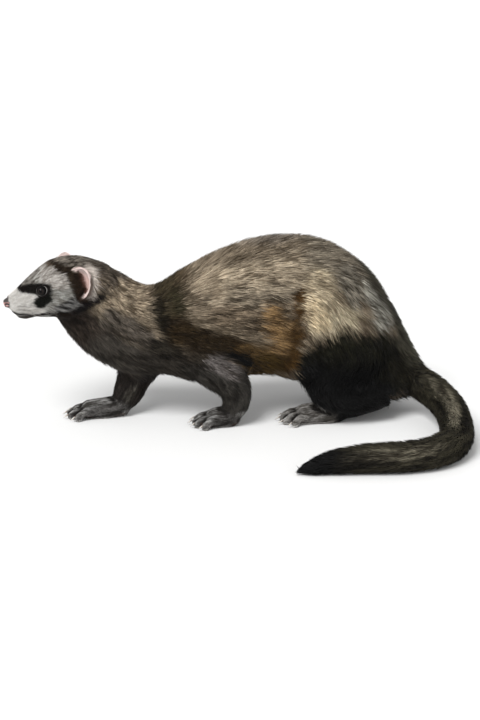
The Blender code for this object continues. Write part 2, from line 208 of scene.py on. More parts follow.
# %% What to fuse, and helpers for whole meshes
FLESH = ["head", "neck", "chest", "rump", "tail_root", "tail_bend", "tail_middle", "tail_tip"]
FLESH += ["ear_left", "ear_right"]
FLESH += [part + name for part in ("foreleg_", "forepaw_", "hindleg_", "hindfoot_") for name in SIDES]
FILLING = ["eye_left", "eye_right", "nose"]
GROWN = 0.36 * MM
SKIN_GRID = 0.8 * MM


def welded(node, grow=0.0):
    """A copy of a solid's mesh with its loose triangles merged, moved out by a little."""
    bm = bmesh.new()
    bm.from_mesh(frame["nodes"][node].data)
    bmesh.ops.remove_doubles(bm, verts=bm.verts, dist=0.01 * MM)
    bm.normal_update()
    for vert in bm.verts:
        vert.co += vert.normal * grow
    return bm


def joined(name, pieces):
    """One new object that holds all these meshes."""
    whole = bmesh.new()
    for bm in pieces:
        part = bpy.data.meshes.new("part")
        bm.to_mesh(part)
        bm.free()
        whole.from_mesh(part)
        bpy.data.meshes.remove(part)
    mesh = bpy.data.meshes.new(name)
    whole.to_mesh(mesh)
    whole.free()
    return link(name, mesh)


def settle(obj):
    """Replaces the object's mesh with what its modifiers make of it."""
    graph = bpy.context.evaluated_depsgraph_get()
    mesh = bpy.data.meshes.new_from_object(obj.evaluated_get(graph))
    obj.modifiers.clear()
    obj.data = mesh
    return obj


def remeshed(obj, grid):
    """The object as one closed surface of even squares."""
    modifier = obj.modifiers.new("fuse", "REMESH")
    modifier.mode = "VOXEL"
    modifier.voxel_size = grid
    return settle(obj)


print("solids to fuse:", len(FLESH + FILLING))

# %% Read and move a mesh's vertices by the thousand


def gathered(items, key, across=1, number=float):
    """One value, or one row of values, from each vertex, edge, face or corner of a mesh."""
    flat = np.empty(len(items) * across, number)
    items.foreach_get(key, flat)
    return flat.reshape(-1, across) if across > 1 else flat


def vertices_of(mesh):
    return gathered(mesh.vertices, "co", 3)


def normals_of(mesh):
    return gathered(mesh.vertices, "normal", 3)


def edges_of(mesh):
    return gathered(mesh.edges, "vertices", 2, np.int32)


def move_vertices(mesh, places):
    mesh.vertices.foreach_set("co", places.ravel())
    mesh.update()


print("loose vertices of the head's solid:", len(vertices_of(frame["nodes"]["head"].data)))

# %% Fuse the flesh solids into one surface
skin = joined("skin", [welded(node, GROWN) for node in FLESH + FILLING])
remeshed(skin, SKIN_GRID)
print("fused skin:", len(skin.data.vertices), "vertices")

# %% [markdown]
# ## A table of places
# Hair length, coat depth and the way the hair lies all change slowly along the animal. One table of
# places holds them: down the middle of the head, trunk and tail, and down each leg to its toes. Each
# vertex of the skin then takes a weighted mean of the places near it.

# %% Places along the body and legs
# x, y, z and reach of each place, then its hair length and coat depth, all in the sketch's millimetres
SPINE = [
    (-179.5, -27, 98.6, 7, 1.2, 0.3),
    (-170, -24.5, 100.3, 11, 1.8, 0.45),
    (-159.5, -21.6, 102.2, 16, 2.8, 0.8),
    (-146, -18, 104.7, 22, 4.2, 1.3),
    (-129, -13.5, 107.8, 26, 6.5, 2.0),
    (-116, -9, 100, 29, 9, 3.0),
    (-104, -5, 85, 31, 12, 4.0),
    (-89, -3, 73, 33, 13.5, 4.6),
    (-61, -1, 71, 34, 15, 5.0),
    (-33, 0, 77, 41, 16, 5.5),
    (-4, 1, 83.5, 46, 17, 6.0),
    (24, 3, 87.5, 50, 17, 6.0),
    (51, 5, 84, 51, 17, 6.0),
    (75, 8, 76, 46, 17, 6.0),
    (94, 9, 63.5, 38, 16, 5.5),
    (110, 9, 50, 30, 15, 5.0),
    (124, 8, 38.5, 21, 13, 4.4),
    (138, 2, 29, 15, 13, 4.0),
    (151.5, -16, 23.6, 13.8, 13, 4.0),
    (161, -41, 18, 13.4, 13, 4.0),
    (162.5, -69, 13.4, 13.4, 13, 4.0),
    (157.5, -97, 12.2, 13.4, 13, 4.0),
    (141.5, -117, 11.8, 12.8, 13, 4.0),
    (119, -126, 11.4, 12, 13, 4.0),
    (94, -128, 11, 11.6, 13, 4.0),
    (68, -129.5, 9.4, 10, 12, 3.6),
    (51, -131.5, 6.8, 7, 9, 2.2),
    (42, -133, 4, 3, 5, 1.0),
]
LIMBS = {
    "fore_left": [
        (-46, -17, 72, 19, 13, 4.2), (-26, -23.5, 52, 17, 10, 3.2), (-6, -27.5, 36, 14, 7.5, 2.2),
        (-2, -28, 23, 11.6, 6, 1.6), (-5, -27.5, 12, 10, 5, 1.1),
    ],
    "fore_right": [
        (-54, 11, 68, 19, 13, 4.2), (-71, 11, 49, 17, 10, 3.2), (-82, 7, 34, 15, 7.5, 2.2),
        (-87, 1, 21, 13, 6, 1.6), (-92, -3, 12, 11, 5, 1.1),
    ],
    "hind_left": [
        (98, -14, 62, 24, 15, 5.0), (80, -21, 53, 22, 14, 4.6), (64, -26, 38, 18, 11, 3.6),
        (77, -26, 26, 15, 8, 2.6), (105, -21, 21, 12.5, 6, 1.7),
    ],
    "hind_right": [
        (106, 31, 62, 24, 15, 5.0), (95, 36, 51, 21, 14, 4.6), (80, 40, 37, 17, 11, 3.6),
        (96, 39, 25, 13.5, 8, 2.6), (118, 36, 17, 11.5, 6, 1.7),
    ],
}
FEET = {
    "fore_left": [(0, -27.5, 8, 9.5, 4.2, 0.9), (-22, -26.5, 7, 11, 3.2, 0.7), (-38, -26.5, 4, 12, 2.0, 0.4)],
    "fore_right": [(-91, -4, 8, 9.5, 4.2, 0.9), (-121, -6, 7, 11, 3.2, 0.7), (-137, -6, 4, 12, 2.0, 0.4)],
    "hind_left": [(108, -20, 17, 9.5, 5, 1.3), (71, -19, 9, 10.5, 4, 0.9), (31, -18.5, 4, 12, 2.2, 0.4)],
    "hind_right": [(124, 35.5, 15, 9.5, 5, 1.3), (92, 36.5, 9, 10.5, 4, 0.9), (60, 38, 4, 12, 2.2, 0.4)],
}
print("rows in the table:", len(SPINE) + sum(len(LIMBS[name]) + len(FEET[name]) for name in LIMBS))

# %% Fill the table in between its rows
STEP = 6.0  # millimetres between two samples
HEAD, TRUNK, TAIL, LIMB, FOOT = range(5)


def samples_along(rows, kind_of):
    """Rows of the table filled in to every few millimetres: numbers, direction, distance and kind."""
    found = []
    travelled = 0.0
    for start, end in zip(rows, rows[1:]):
        a, b = np.array(start, float), np.array(end, float)
        reach = b[:3] - a[:3]
        length = float(np.linalg.norm(reach))
        steps = max(1, round(length / STEP))
        for k in range(steps):
            t = (k + 0.5) / steps
            row = a + (b - a) * t
            found.append((row, reach / length, travelled + length * t, kind_of(row)))
        travelled += length
    return found


def spine_kind(row):
    if row[0] < -122:
        return HEAD
    beyond_root = row[0] > 138 or row[1] < -30
    return TAIL if beyond_root else TRUNK


samples = samples_along(SPINE, spine_kind)
for name in LIMBS:
    samples += samples_along(LIMBS[name], lambda row: LIMB)
    samples += samples_along(FEET[name], lambda row: FOOT)
place = np.array([s[0][:3] for s in samples])
reach = np.array([s[0][3] for s in samples])
hair = np.array([s[0][4:6] for s in samples])
heading = np.array([s[1] for s in samples])
travelled = np.array([s[2] for s in samples])
kind = np.array([s[3] for s in samples])
print("places:", len(samples))

# %% Weigh the places for every vertex


def in_sketch(places):
    return (places - np.array(SHIFT)) / MM


def in_head(places):
    """Behind the nose, to the left and above the middle line, in millimetres."""
    axes = np.array([head_back, head_left, head_up])
    return (places - np.array(nose_origin)) @ axes.T / MM


def surveyed(places):
    """What the table says of each of these places on the skin."""
    sketch = in_sketch(places)
    apart = np.linalg.norm(sketch[:, None] - place[None], axis=2) / reach
    weight = np.exp(-2.6 * apart**2) + 1e-9
    total = weight.sum(axis=1, keepdims=True)
    parts = np.stack([weight[:, kind == k].max(axis=1) for k in range(5)], axis=1) ** 2
    return {
        "sketch": sketch,
        "head": in_head(places),
        "hair": weight @ hair / total,
        "heading": weight @ heading,
        "travelled": (weight @ travelled[:, None] / total)[:, 0],
        "axis": weight @ place / total,
        "parts": parts / parts.sum(axis=1, keepdims=True),
    }


survey = surveyed(vertices_of(skin.data))
fine = (survey["parts"][:, FOOT] > 0.5) | ((survey["head"][:, 0] < 72) & (survey["parts"][:, HEAD] > 0.4))
print("vertices kept fine:", int(fine.sum()))

# %% Thin the skin where the coat is long
BODY_SHARE = 0.13  # of the coarse places' faces are kept
thin = skin.vertex_groups.new(name="thin")
thin.add([int(i) for i in np.flatnonzero(~fine)], 1.0, "REPLACE")
modifier = skin.modifiers.new("thin", "DECIMATE")
modifier.vertex_group = "thin"
modifier.ratio = float(fine.mean() + BODY_SHARE * (1 - fine.mean()))
settle(skin)
skin.vertex_groups.clear()
print("thinned skin:", len(skin.data.vertices), "vertices")

# %% [markdown]
# ## Smooth, and draw the skin in under the coat
# The solids reach the hair tips, so the skin lies inside them by the coat's depth: six millimetres on
# the back, a few tenths on the nose. Smoothing comes first, with a step out after each step in, so
# that toes and ears keep their size.

# %% The ears' own directions
EAR_PLACE = {1: (56.0, 22.0, 6.5), -1: (50.5, 20.6, 10.3)}  # left, and right, which is pricked
EAR_REACH = (10.2, 12.6, 7.0)
EAR_OPENS = (0.74, 0.62, 0.24)


def ear_axes(side):
    """Backward, crown and opening directions of one ear; side is 1 for the left."""
    out, ahead, rise = EAR_OPENS
    opens = (head_back * -ahead + head_left * side * out + head_up * rise).normalized()
    crown = head_back * 0.28 + head_left * side * 0.22 + head_up
    crown = (crown - opens * crown.dot(opens)).normalized()
    return np.array([crown.cross(opens) * side, crown, opens])


def in_ear(places, side):
    """Places in the ear's own directions, where its cup is a ball of radius 1."""
    behind, aside, above = EAR_PLACE[side]
    middle = np.array(head_point(behind, side * aside, above))
    return (places - middle) @ ear_axes(side).T / MM / np.array(EAR_REACH)


EAR_SLANT = np.array((0.72, 0.69, 0.0))  # towards the crescent of bare skin, back and up in the cup
CRESCENT_ENDS = (-0.74, -0.62)  # how low in the cup the bare skin fades out


def ear_hollow(cup):
    """1 on the skin that lies in the ear's cup, given in the ear's own directions."""
    return (np.linalg.norm(cup, axis=1) < 1.0) * smooth(cup[:, 2], -1.0, -0.8)


print("crown of the left ear points to", ear_axes(SIDES["left"])[1].round(2))

# %% Find the ears' walls and the soles
ear_trees = {side: BVHTree.FromBMesh(welded("ear_" + name)) for name, side in SIDES.items()}


def ear_zone(places):
    """1 on either ear's thin wall, fading out within a millimetre of its solid."""
    apart = np.full(len(places), 9.0)
    for side, tree in ear_trees.items():
        close = np.flatnonzero(np.linalg.norm(in_ear(places, side), axis=1) < 1.6)
        for i in close:
            apart[i] = min(apart[i], tree.find_nearest(places[i])[3] / MM)
    return 1 - smooth(apart, 0.7, 1.7)


def sole_zone(survey):
    """1 on the flat places under the feet."""
    low = 1 - smooth(survey["sketch"][:, 2], 0.7, 2.2)
    return low * smooth(survey["parts"][:, FOOT] + survey["parts"][:, LIMB], 0.3, 0.6)


print("vertices on the ears' walls:", int((ear_zone(vertices_of(skin.data)) > 0.5).sum()))

# %% Smooth the skin and keep its soles flat


def relaxed(places, edges, rounds, give, back=-0.52):
    """Smooths by turns inwards and outwards, which takes out facets and keeps the size."""
    a, b = edges.T
    count = np.bincount(np.concatenate((a, b)), minlength=len(places))[:, None]
    for turn in range(2 * rounds):
        mean = np.empty_like(places)
        for axis in range(3):
            mean[:, axis] = np.bincount(a, places[b, axis], len(places))
            mean[:, axis] += np.bincount(b, places[a, axis], len(places))
        pull = 0.5 if turn % 2 == 0 else back
        places = places + (mean / count - places) * pull * give[:, None]
    return places


places = vertices_of(skin.data)
edges = edges_of(skin.data)
survey = surveyed(places)
give = 1 - 0.75 * np.maximum(ear_zone(places), survey["parts"][:, FOOT])
level = places[:, 2].copy()
places = relaxed(places, edges, 14, give)
flat = sole_zone(survey) > 0.5
places[flat, 2] = level[flat]
move_vertices(skin.data, places)
print("vertices on soles:", int(flat.sum()))

# %% Draw the skin in by the coat's depth
depth = survey["hair"][:, 1] * MM
depth *= 1 - 0.9 * ear_zone(places)
depth *= 1 - sole_zone(survey)
places = places - normals_of(skin.data) * (depth + GROWN * 0.9 * (1 - sole_zone(survey)))[:, None]
places = relaxed(places, edges, 3, give * 0.8)
move_vertices(skin.data, places)
print("coat depth from", round(depth.min() / MM, 2), "to", round(depth.max() / MM, 2), "mm")

# %% [markdown]
# ## Lids, lips and nostrils
# Close to the eyes, the mouth and the nose the grid is split again, so that folds a few tenths of a
# millimetre deep can be pushed in by short rules: a lid that wraps the eyeball, a lip line, and folds
# on the muzzle where the whiskers grow.

# %% Where the eyes look and where the lip runs
EYE_GAZE = (0.42, 0.90, 0.12)  # forwards, outwards and up


def gaze(side):
    ahead, out, rise = EYE_GAZE
    return (head_back * -ahead + head_left * side * out + head_up * rise).normalized()


# Behind the nose and above the middle line, along the lip from under the nose to the mouth's corner
LIP = np.array([(3.0, -5.6), (5.2, -7.4), (8.2, -9.6), (15.8, -12.2), (24.0, -12.4), (30.0, -10.8)])


def distance_to_path(points, path):
    """From each point to the nearest place on a path of straight steps."""
    best = np.full(len(points), 1e9)
    for start, end in zip(path, path[1:]):
        step = end - start
        t = np.clip((points - start) @ step / (step @ step), 0, 1)
        best = np.minimum(best, np.linalg.norm(points - start - t[:, None] * step, axis=1))
    return best


def mirrored_head(places):
    """The same, with the right side laid over the left, for marks that both sides share."""
    head = in_head(places)
    head[:, 1] = np.abs(head[:, 1])
    return head


print("the left eye looks towards", [round(v, 2) for v in gaze(SIDES["left"])])

# %% Split the faces round the eyes and mouth


def split_near(mesh, near):
    """Cuts every edge in two whose both ends are near."""
    bm = bmesh.new()
    bm.from_mesh(mesh)
    bmesh.ops.triangulate(bm, faces=bm.faces)
    bm.verts.ensure_lookup_table()
    chosen = [edge for edge in bm.edges if near[edge.verts[0].index] and near[edge.verts[1].index]]
    bmesh.ops.subdivide_edges(bm, edges=chosen, cuts=1, use_grid_fill=True)
    bmesh.ops.triangulate(bm, faces=bm.faces)
    bm.to_mesh(mesh)
    bm.free()


for reach_of_split in (7.4, 5.6):
    places = vertices_of(skin.data)
    head = mirrored_head(places)
    near = distance_to_path(head[:, [0, 2]], LIP) < reach_of_split - 5
    near &= head[:, 0] < LIP[-1, 0] + 1
    for name in SIDES:
        near |= np.linalg.norm(places - np.array(eye_centre[name]), axis=1) < reach_of_split * MM
    split_near(skin.data, near)
print("skin after splitting:", len(skin.data.vertices), "vertices")

# %% Wrap the lids round the eyes
LID_HALF_LONG = 3.5  # millimetres, along the eye's slit
LID_HALF_HIGH = 2.8
LID_THICK = 0.55
LID_FOLD = (1.75, 0.16, 0.35)  # the crease over the upper lid: its place and width in slits, its depth


def eye_frame(side):
    """Along the slit, across it, and out of the eye."""
    out = gaze(side)
    along = (head_back * 0.98 + head_up * 0.18)
    along = (along - out * along.dot(out)).normalized()
    return np.array([along, out.cross(along) if side > 0 else along.cross(out), out])


def in_eye(places, name, side):
    """Places in the eye's own directions, and how far from the slit's middle, 1 on the lids' edge."""
    local = (places - np.array(eye_centre[name])) @ eye_frame(side).T / MM
    return local, np.hypot(local[:, 0] / LID_HALF_LONG, local[:, 1] / LID_HALF_HIGH)


def wrap_lids(places):
    for name, side in SIDES.items():
        local, slit = in_eye(places, name, side)
        far = np.linalg.norm(local, axis=1)
        ahead = smooth(local[:, 2], -1.0, 1.2)
        lid = EYE_RADIUS + LID_THICK - 0.35 * smooth(slit, 1.25, 1.0)
        wanted = np.where(slit < 1, EYE_RADIUS - 1.0 + 0.9 * smooth(slit, 0.82, 1.0), lid)
        wrapped = np.where(slit < 1, wanted, np.maximum(far, wanted))
        at, wide, deep = LID_FOLD
        wrapped -= deep * np.exp(-(((slit - at) / wide) ** 2)) * smooth(local[:, 1], -1.0, 1.5)
        hold = ahead * (1 - smooth(far, 6.0, 8.5))
        new_far = far + (wrapped - far) * hold
        scaled = local * (new_far / np.maximum(far, 0.01))[:, None]
        places = places + (scaled - local) @ eye_frame(side) * MM
    return places


move_vertices(skin.data, wrap_lids(vertices_of(skin.data)))
print("lids over eyes", EYE_RADIUS * 2, "mm across")

# %% Press in the mouth line and the whisker folds
LIP_WIDE, LIP_DEEP = 0.7, 0.9  # millimetres
FOLD_WIDE, FOLD_DEEP = 0.6, 0.3
NOSE_ROOM = 2.0  # how far the skin steps back inside the nose pad
# Three folds on the whisker pad, each as places behind the nose and above the middle line
FOLDS = [np.array([(8, -2.2 - 3.1 * k), (15, -4.4 - 2.9 * k), (20.5, -3.6 - 3.0 * k)]) for k in range(3)]
NOSE_MIDDLE = (3.9, 0.0, -0.85)
NOSE_REACH = (4.2, 4.7, 3.65)


def from_nose(head):
    """1 on the surface of the nose's own solid, less inside it and more outside."""
    return np.linalg.norm((head - np.array(NOSE_MIDDLE)) / np.array(NOSE_REACH), axis=1)


def on_path(head, path, wide):
    """1 on a path seen from the side, fading out across its width."""
    return np.exp(-((distance_to_path(head[:, [0, 2]], path) / wide) ** 2))


places = vertices_of(skin.data)
out = normals_of(skin.data)
head = mirrored_head(places)
lip = on_path(head, LIP, LIP_WIDE)
pressed = LIP_DEEP * lip
for fold in FOLDS:
    pressed += FOLD_DEEP * on_path(head, fold, FOLD_WIDE) * smooth(head[:, 1], 4, 7)
philtrum = np.exp(-((head[:, 1] / 0.5) ** 2)) * (head[:, 0] < 5) * (head[:, 2] < -3.4) * (head[:, 2] > -7)
pressed += 0.4 * philtrum
pressed += NOSE_ROOM * (1 - smooth(from_nose(head), 1.0, 1.08))
places -= out * (pressed * MM)[:, None]
places[:, 2] = np.maximum(places[:, 2], 0)
move_vertices(skin.data, places)
print("lip line pressed in on", int((lip > 0.3).sum()), "vertices")

# %% [markdown]
# ## The lie of the coat
# Hair lies from nose to tail and from hip to toe, and gravity draws it down a little on the flanks.
# Each vertex keeps the direction, the hair's length and the height of its tips above the skin. It
# also keeps how far along the animal it is, so that streaks of dark hair can run with the coat.

# %% Strokes, and the neighbourhood of eyes and ears


def store(mesh, name, values, kind_of="FLOAT"):
    """Keeps a value, a direction or a colour on every vertex."""
    attribute = mesh.attributes.new(name, kind_of, "POINT")
    key = {"FLOAT": "value", "FLOAT_VECTOR": "vector", "FLOAT_COLOR": "color"}[kind_of]
    if kind_of == "FLOAT_COLOR":
        values = np.concatenate([values, np.ones((len(values), 1))], axis=1)
    attribute.data.foreach_set(key, np.ascontiguousarray(values, np.float32).ravel())


def stroke(points, start, end, near, far, soft=0.25):
    """1 inside a stroke between two places, 0 outside it; its reach may change from end to end."""
    start = np.array(start, float)
    step = np.array(end, float) - start
    t = np.clip((points - start) @ step / (step @ step + 1e-9), 0, 1)
    away = np.linalg.norm(points - start - t[:, None] * step, axis=1)
    return 1 - smooth(away / (near + (far - near) * t), 1 - soft, 1 + soft)


def eye_slit(places, name, side):
    """How far from the middle of the eye's slit, 1 on the lids' edge, and whether near the eye."""
    local, slit = in_eye(places, name, side)
    return slit, (np.linalg.norm(local, axis=1) < 7) & (local[:, 2] > 0)


def ear_side(places, out, side):
    """-1 on the inner wall of an ear's cup, 1 on its back, and between them on the rim."""
    away = in_ear(places, side) @ ear_axes(side)
    away /= np.linalg.norm(away, axis=1, keepdims=True) + 1e-9
    return np.einsum("ij,ij->i", out, away)


rail = np.array([(0.0, 0.5), (1.0, 0.5), (2.0, 0.5)])
print("a stroke inside, on its edge and outside:", stroke(rail, (0, 0), (0, 1), 1, 1))

# %% Which way the hair lies
DROOP, HAUNCH_DROOP = 0.22, 1.1  # how far the hair turns down on the flanks and on the haunch


def laid_flat(lie, out):
    """Directions turned into the skin's own surface, one long."""
    lie = lie - out * np.einsum("ij,ij->i", lie, out)[:, None]
    return lie / (np.linalg.norm(lie, axis=1, keepdims=True) + 1e-9)


places = vertices_of(skin.data)
out = normals_of(skin.data)
survey = surveyed(places)
lie = survey["heading"].copy()
lie /= np.linalg.norm(lie, axis=1, keepdims=True) + 1e-9
trunk = survey["parts"][:, TRUNK]
from_side = survey["sketch"][:, [0, 2]]
haunch = stroke(from_side, (88, 86), (88, 80), 37, 40, 0.32) * trunk
lie[:, 2] -= DROOP * trunk * (1 - np.abs(out[:, 2])) + HAUNCH_DROOP * haunch
ears = ear_zone(places)
bare_ear, hollow = np.zeros((2, len(places)))
for side in SIDES.values():
    cup = in_ear(places, side)
    near = ears * (np.linalg.norm(cup, axis=1) < 1.4)
    lie = lie * (1 - near)[:, None] + ear_axes(side)[1] * near[:, None]
    wall = smooth(near, 0.05, 0.35) * (1 - smooth(ear_side(places, out, side), 0.3, 0.7))
    hollow = np.maximum(hollow, ear_hollow(cup))
    crescent = np.maximum(wall, ear_hollow(cup) * smooth(cup @ EAR_SLANT, 0.2, 0.32))
    bare_ear = np.maximum(bare_ear, crescent * smooth(cup[:, 1], *CRESCENT_ENDS))
lie = laid_flat(lie, out)
print("vertices in the ears' hollows:", int((hollow > 0.5).sum()))

# %% How long and how high the hair is
EAR_HAIR, EAR_TIPS = 1.2 * MM, 0.25 * MM
length, tips = survey["hair"].T.copy() * MM
length = length * (1 - ears) + EAR_HAIR * ears
tips = tips * (1 - ears) + EAR_TIPS * ears
furrow = stroke(from_side, (37, 104), (36, 62), 9, 10, 0.4) * trunk  # between flank and thigh
length *= (1 - 0.55 * hollow) * (1 - 0.45 * furrow)
tips *= 1 - 0.3 * furrow
# Longer hair fringes the cheek's rear edge and the ear's back
seen = mirrored_head(places)[:, [0, 2]]
ruff = np.maximum(stroke(seen, (40, -9), (54, -5), 4.5, 4.5), stroke(seen, (64, 12), (64, -4), 4, 4))
ruff = ruff * (1 - np.maximum(ears, hollow)) * survey["parts"][:, HEAD]
length *= 1 + 0.45 * ruff
tips += 0.7 * MM * ruff
# The belly's hair hangs a little free, some locks more than others
fringe = trunk**2 * smooth(-out[:, 2], 0.1, 0.6)
ragged = np.random.default_rng(5).uniform(-0.6, 1.4, len(places))
tips += (1.2 + 3.2 * ragged) * MM * fringe
print("tips stand", round(tips.min() / MM, 1), "to", round(tips.max() / MM, 1), "mm over the skin")

# %% Where the skin is bare
BARE_LIDS, BARE_NOSE = 1.4, 1.12  # in the slit's and in the nose's own measure
bare = sole_zone(survey) * (out[:, 2] < 0.2)
lids = np.zeros(len(places))
for name, side in SIDES.items():
    slit, near = eye_slit(places, name, side)
    lids = np.maximum(lids, near * (slit < BARE_LIDS))
    length *= 1 - 0.5 * (1 - smooth(slit, 1.6, 3.2)) * near
bare = np.clip(bare + lids + (from_nose(in_head(places)) < BARE_NOSE) + bare_ear, 0, 1)
print("bare vertices:", int((bare > 0.5).sum()))

# %% Keep it all on the skin
TAIL_STREAKS = 0.45  # how fast the streaks run on along the tail, where they are longer
finer = 1 + survey["parts"][:, HEAD]  # streaks are finer on the head
on_tail = np.maximum(survey["travelled"] - travelled[kind == TAIL].min(), 0)
brush = (1 - smooth(survey["sketch"][:, 0], 46, 60)) * (survey["sketch"][:, 1] < -100)
store(skin.data, "lie", lie, "FLOAT_VECTOR")
store(skin.data, "hair_length", length)
store(skin.data, "tip_height", tips)
store(skin.data, "furred", 1 - bare)
store(skin.data, "off_axis", (survey["sketch"] - survey["axis"]) * finer[:, None], "FLOAT_VECTOR")
store(skin.data, "along_body", survey["travelled"] - (1 - TAIL_STREAKS) * on_tail)
store(skin.data, "loose", np.maximum(0.7 * brush, 0.75 * fringe * np.clip(ragged, 0, 1)))
print("hair from", round(length.min() / MM, 1), "to", round(length.max() / MM, 1), "mm long")

# %% [markdown]
# ## Markings
# A sable ferret is painted by its hairs: each place has a dark and a light hair colour that lie round
# one mean. The markings are strokes, as a taxidermist's airbrush would lay them, and the same list
# serves skin and coat. Hair shows its colour beyond its root, so each place takes the mark that its
# tips reach, some sooner and some later, and that makes the marks' edges ragged.

# %% Colours of the markings


def linear(rgb):
    """A screen colour, 0 to 255, as the shader's own linear numbers."""
    c = np.array(rgb, float) / 255
    return np.where(c <= 0.04045, c / 12.92, ((c + 0.055) / 1.055) ** 2.4)


# Name, both ends (x, z) and the reach at each in the sketch's millimetres, colour, contrast
BODY_MARKS = [
    ("lower side", (-66, 58), (14, 52), 9, 9, (52, 46, 39), 0.5),
    ("back, darker on top", (-66, 116), (-14, 142), 8, 10, (116, 107, 97), 0.75),
    ("crest of the back", (-14, 146), (46, 150), 11, 10, (122, 112, 101), 0.75),
    ("crest, behind", (52, 148), (74, 138), 9, 9, (99, 92, 80), 0.75),
    ("cream flank", (-20, 109), (50, 120), 12, 14, (150, 136, 116), 0.55),
    ("flank", (-16, 102), (34, 102), 9, 10, (130, 117, 99), 0.8),
    ("lower flank", (-14, 90), (24, 86), 9, 9, (108, 94, 77), 0.8),
    ("nape", (-124, 132), (-72, 110), 9, 9, (88, 79, 70), 0.7),
    ("saddle behind the nape", (-76, 108), (-50, 116), 9, 10, (86, 73, 57), 0.4),
    ("throat", (-132, 92), (-100, 56), 14, 16, (52, 45, 39), 0.6),
    ("breast", (-100, 58), (-56, 40), 16, 14, (62, 57, 51), 0.7),
    ("cream neck", (-102, 101), (-76, 97), 9, 11, (142, 127, 107), 0.65),
    ("brown behind the ear", (-107, 115), (-100, 111), 5, 5, (98, 87, 74), 0.7),
    ("nape's edge", (-98, 124), (-66, 106), 6, 6, (80, 71, 61), 0.7),
    ("grey neck streaks", (-98, 84), (-72, 71), 8, 7, (84, 76, 67), 0.75),
    ("dark shoulder", (-54, 104), (-48, 80), 12, 12, (56, 49, 37), 0.5),
    ("olive shoulder", (-47, 100), (-45, 94), 4, 4, (50, 46, 33), 0.35),
    ("pale behind the shoulder", (-22, 112), (-14, 104), 6.5, 6.5, (158, 144, 124), 0.3),
    ("black of the shoulder", (-60, 90), (-52, 72), 6, 6, (37, 33, 26), 0.5),
    ("dark below the neck", (-64, 66), (-50, 60), 6, 6, (44, 40, 34), 0.8),
    ("brown behind the shoulder", (-44, 76), (4, 63), 11, 8, (46, 37, 26), 0.45),
    ("belly", (-62, 46), (-16, 42), 10, 12, (48, 44, 39), 0.6),
    ("underside", (-6, 46), (44, 30), 9, 9, (70, 56, 36), 0.6),
    ("brown flank", (4, 62), (20, 56), 8, 9, (74, 58, 37), 0.5),
    ("gold flank", (26, 91), (33, 65), 8, 8, (134, 107, 73), 0.65),
    ("gold low flank", (14, 51), (38, 52), 7, 7, (66, 52, 30), 0.4),
    ("haunch top", (62, 128), (84, 116), 12, 12, (118, 108, 93), 0.65),
    ("cream haunch", (60, 112), (68, 84), 11, 13, (166, 152, 128), 0.5),
    ("cream haunch, low", (64, 82), (84, 84), 9, 8, (168, 156, 132), 0.5),
    ("palest haunch", (57, 97), (61, 83), 6.5, 8, (194, 178, 149), 0.2),
    ("olive haunch", (82, 114), (88, 98), 8, 7, (112, 104, 91), 0.8),
    ("grey rear haunch", (102, 104), (110, 82), 8, 9, (142, 137, 125), 0.8),
    ("gold fold", (45, 104), (43, 80), 5.4, 6.8, (68, 49, 27), 0.2),
    ("gold fold, low", (43, 80), (43, 50), 6.8, 6.0, (70, 52, 30), 0.25),
    ("rump edge", (84, 138), (124, 80), 6, 7, (62, 58, 49), 0.5),
    ("rump", (122, 84), (134, 54), 8, 8, (56, 53, 44), 0.55),
    ("black thigh", (64, 48), (84, 56), 16, 18, (24, 23, 18), 0.6),
    ("black thigh, behind", (84, 56), (104, 55), 18, 17.5, (31, 30, 23), 0.6),
    ("black under the tail", (104, 50), (120, 34), 16, 15, (26, 25, 20), 0.6),
    ("under the tail root", (124, 40), (140, 30), 11, 10, (34, 32, 26), 0.6),
    ("olive tail root", (124, 62), (138, 44), 7, 7, (68, 65, 55), 0.6),
    ("black behind the elbow", (-4, 58), (6, 52), 5, 5, (15, 12, 10), 0.5),
    ("pale hair before the knee", (40, 39), (57, 27), 2.4, 2.2, (112, 98, 80), 0.8),
]
CRISP = ("black", "gold fold", "pale")  # marks whose names start so have a sharp edge
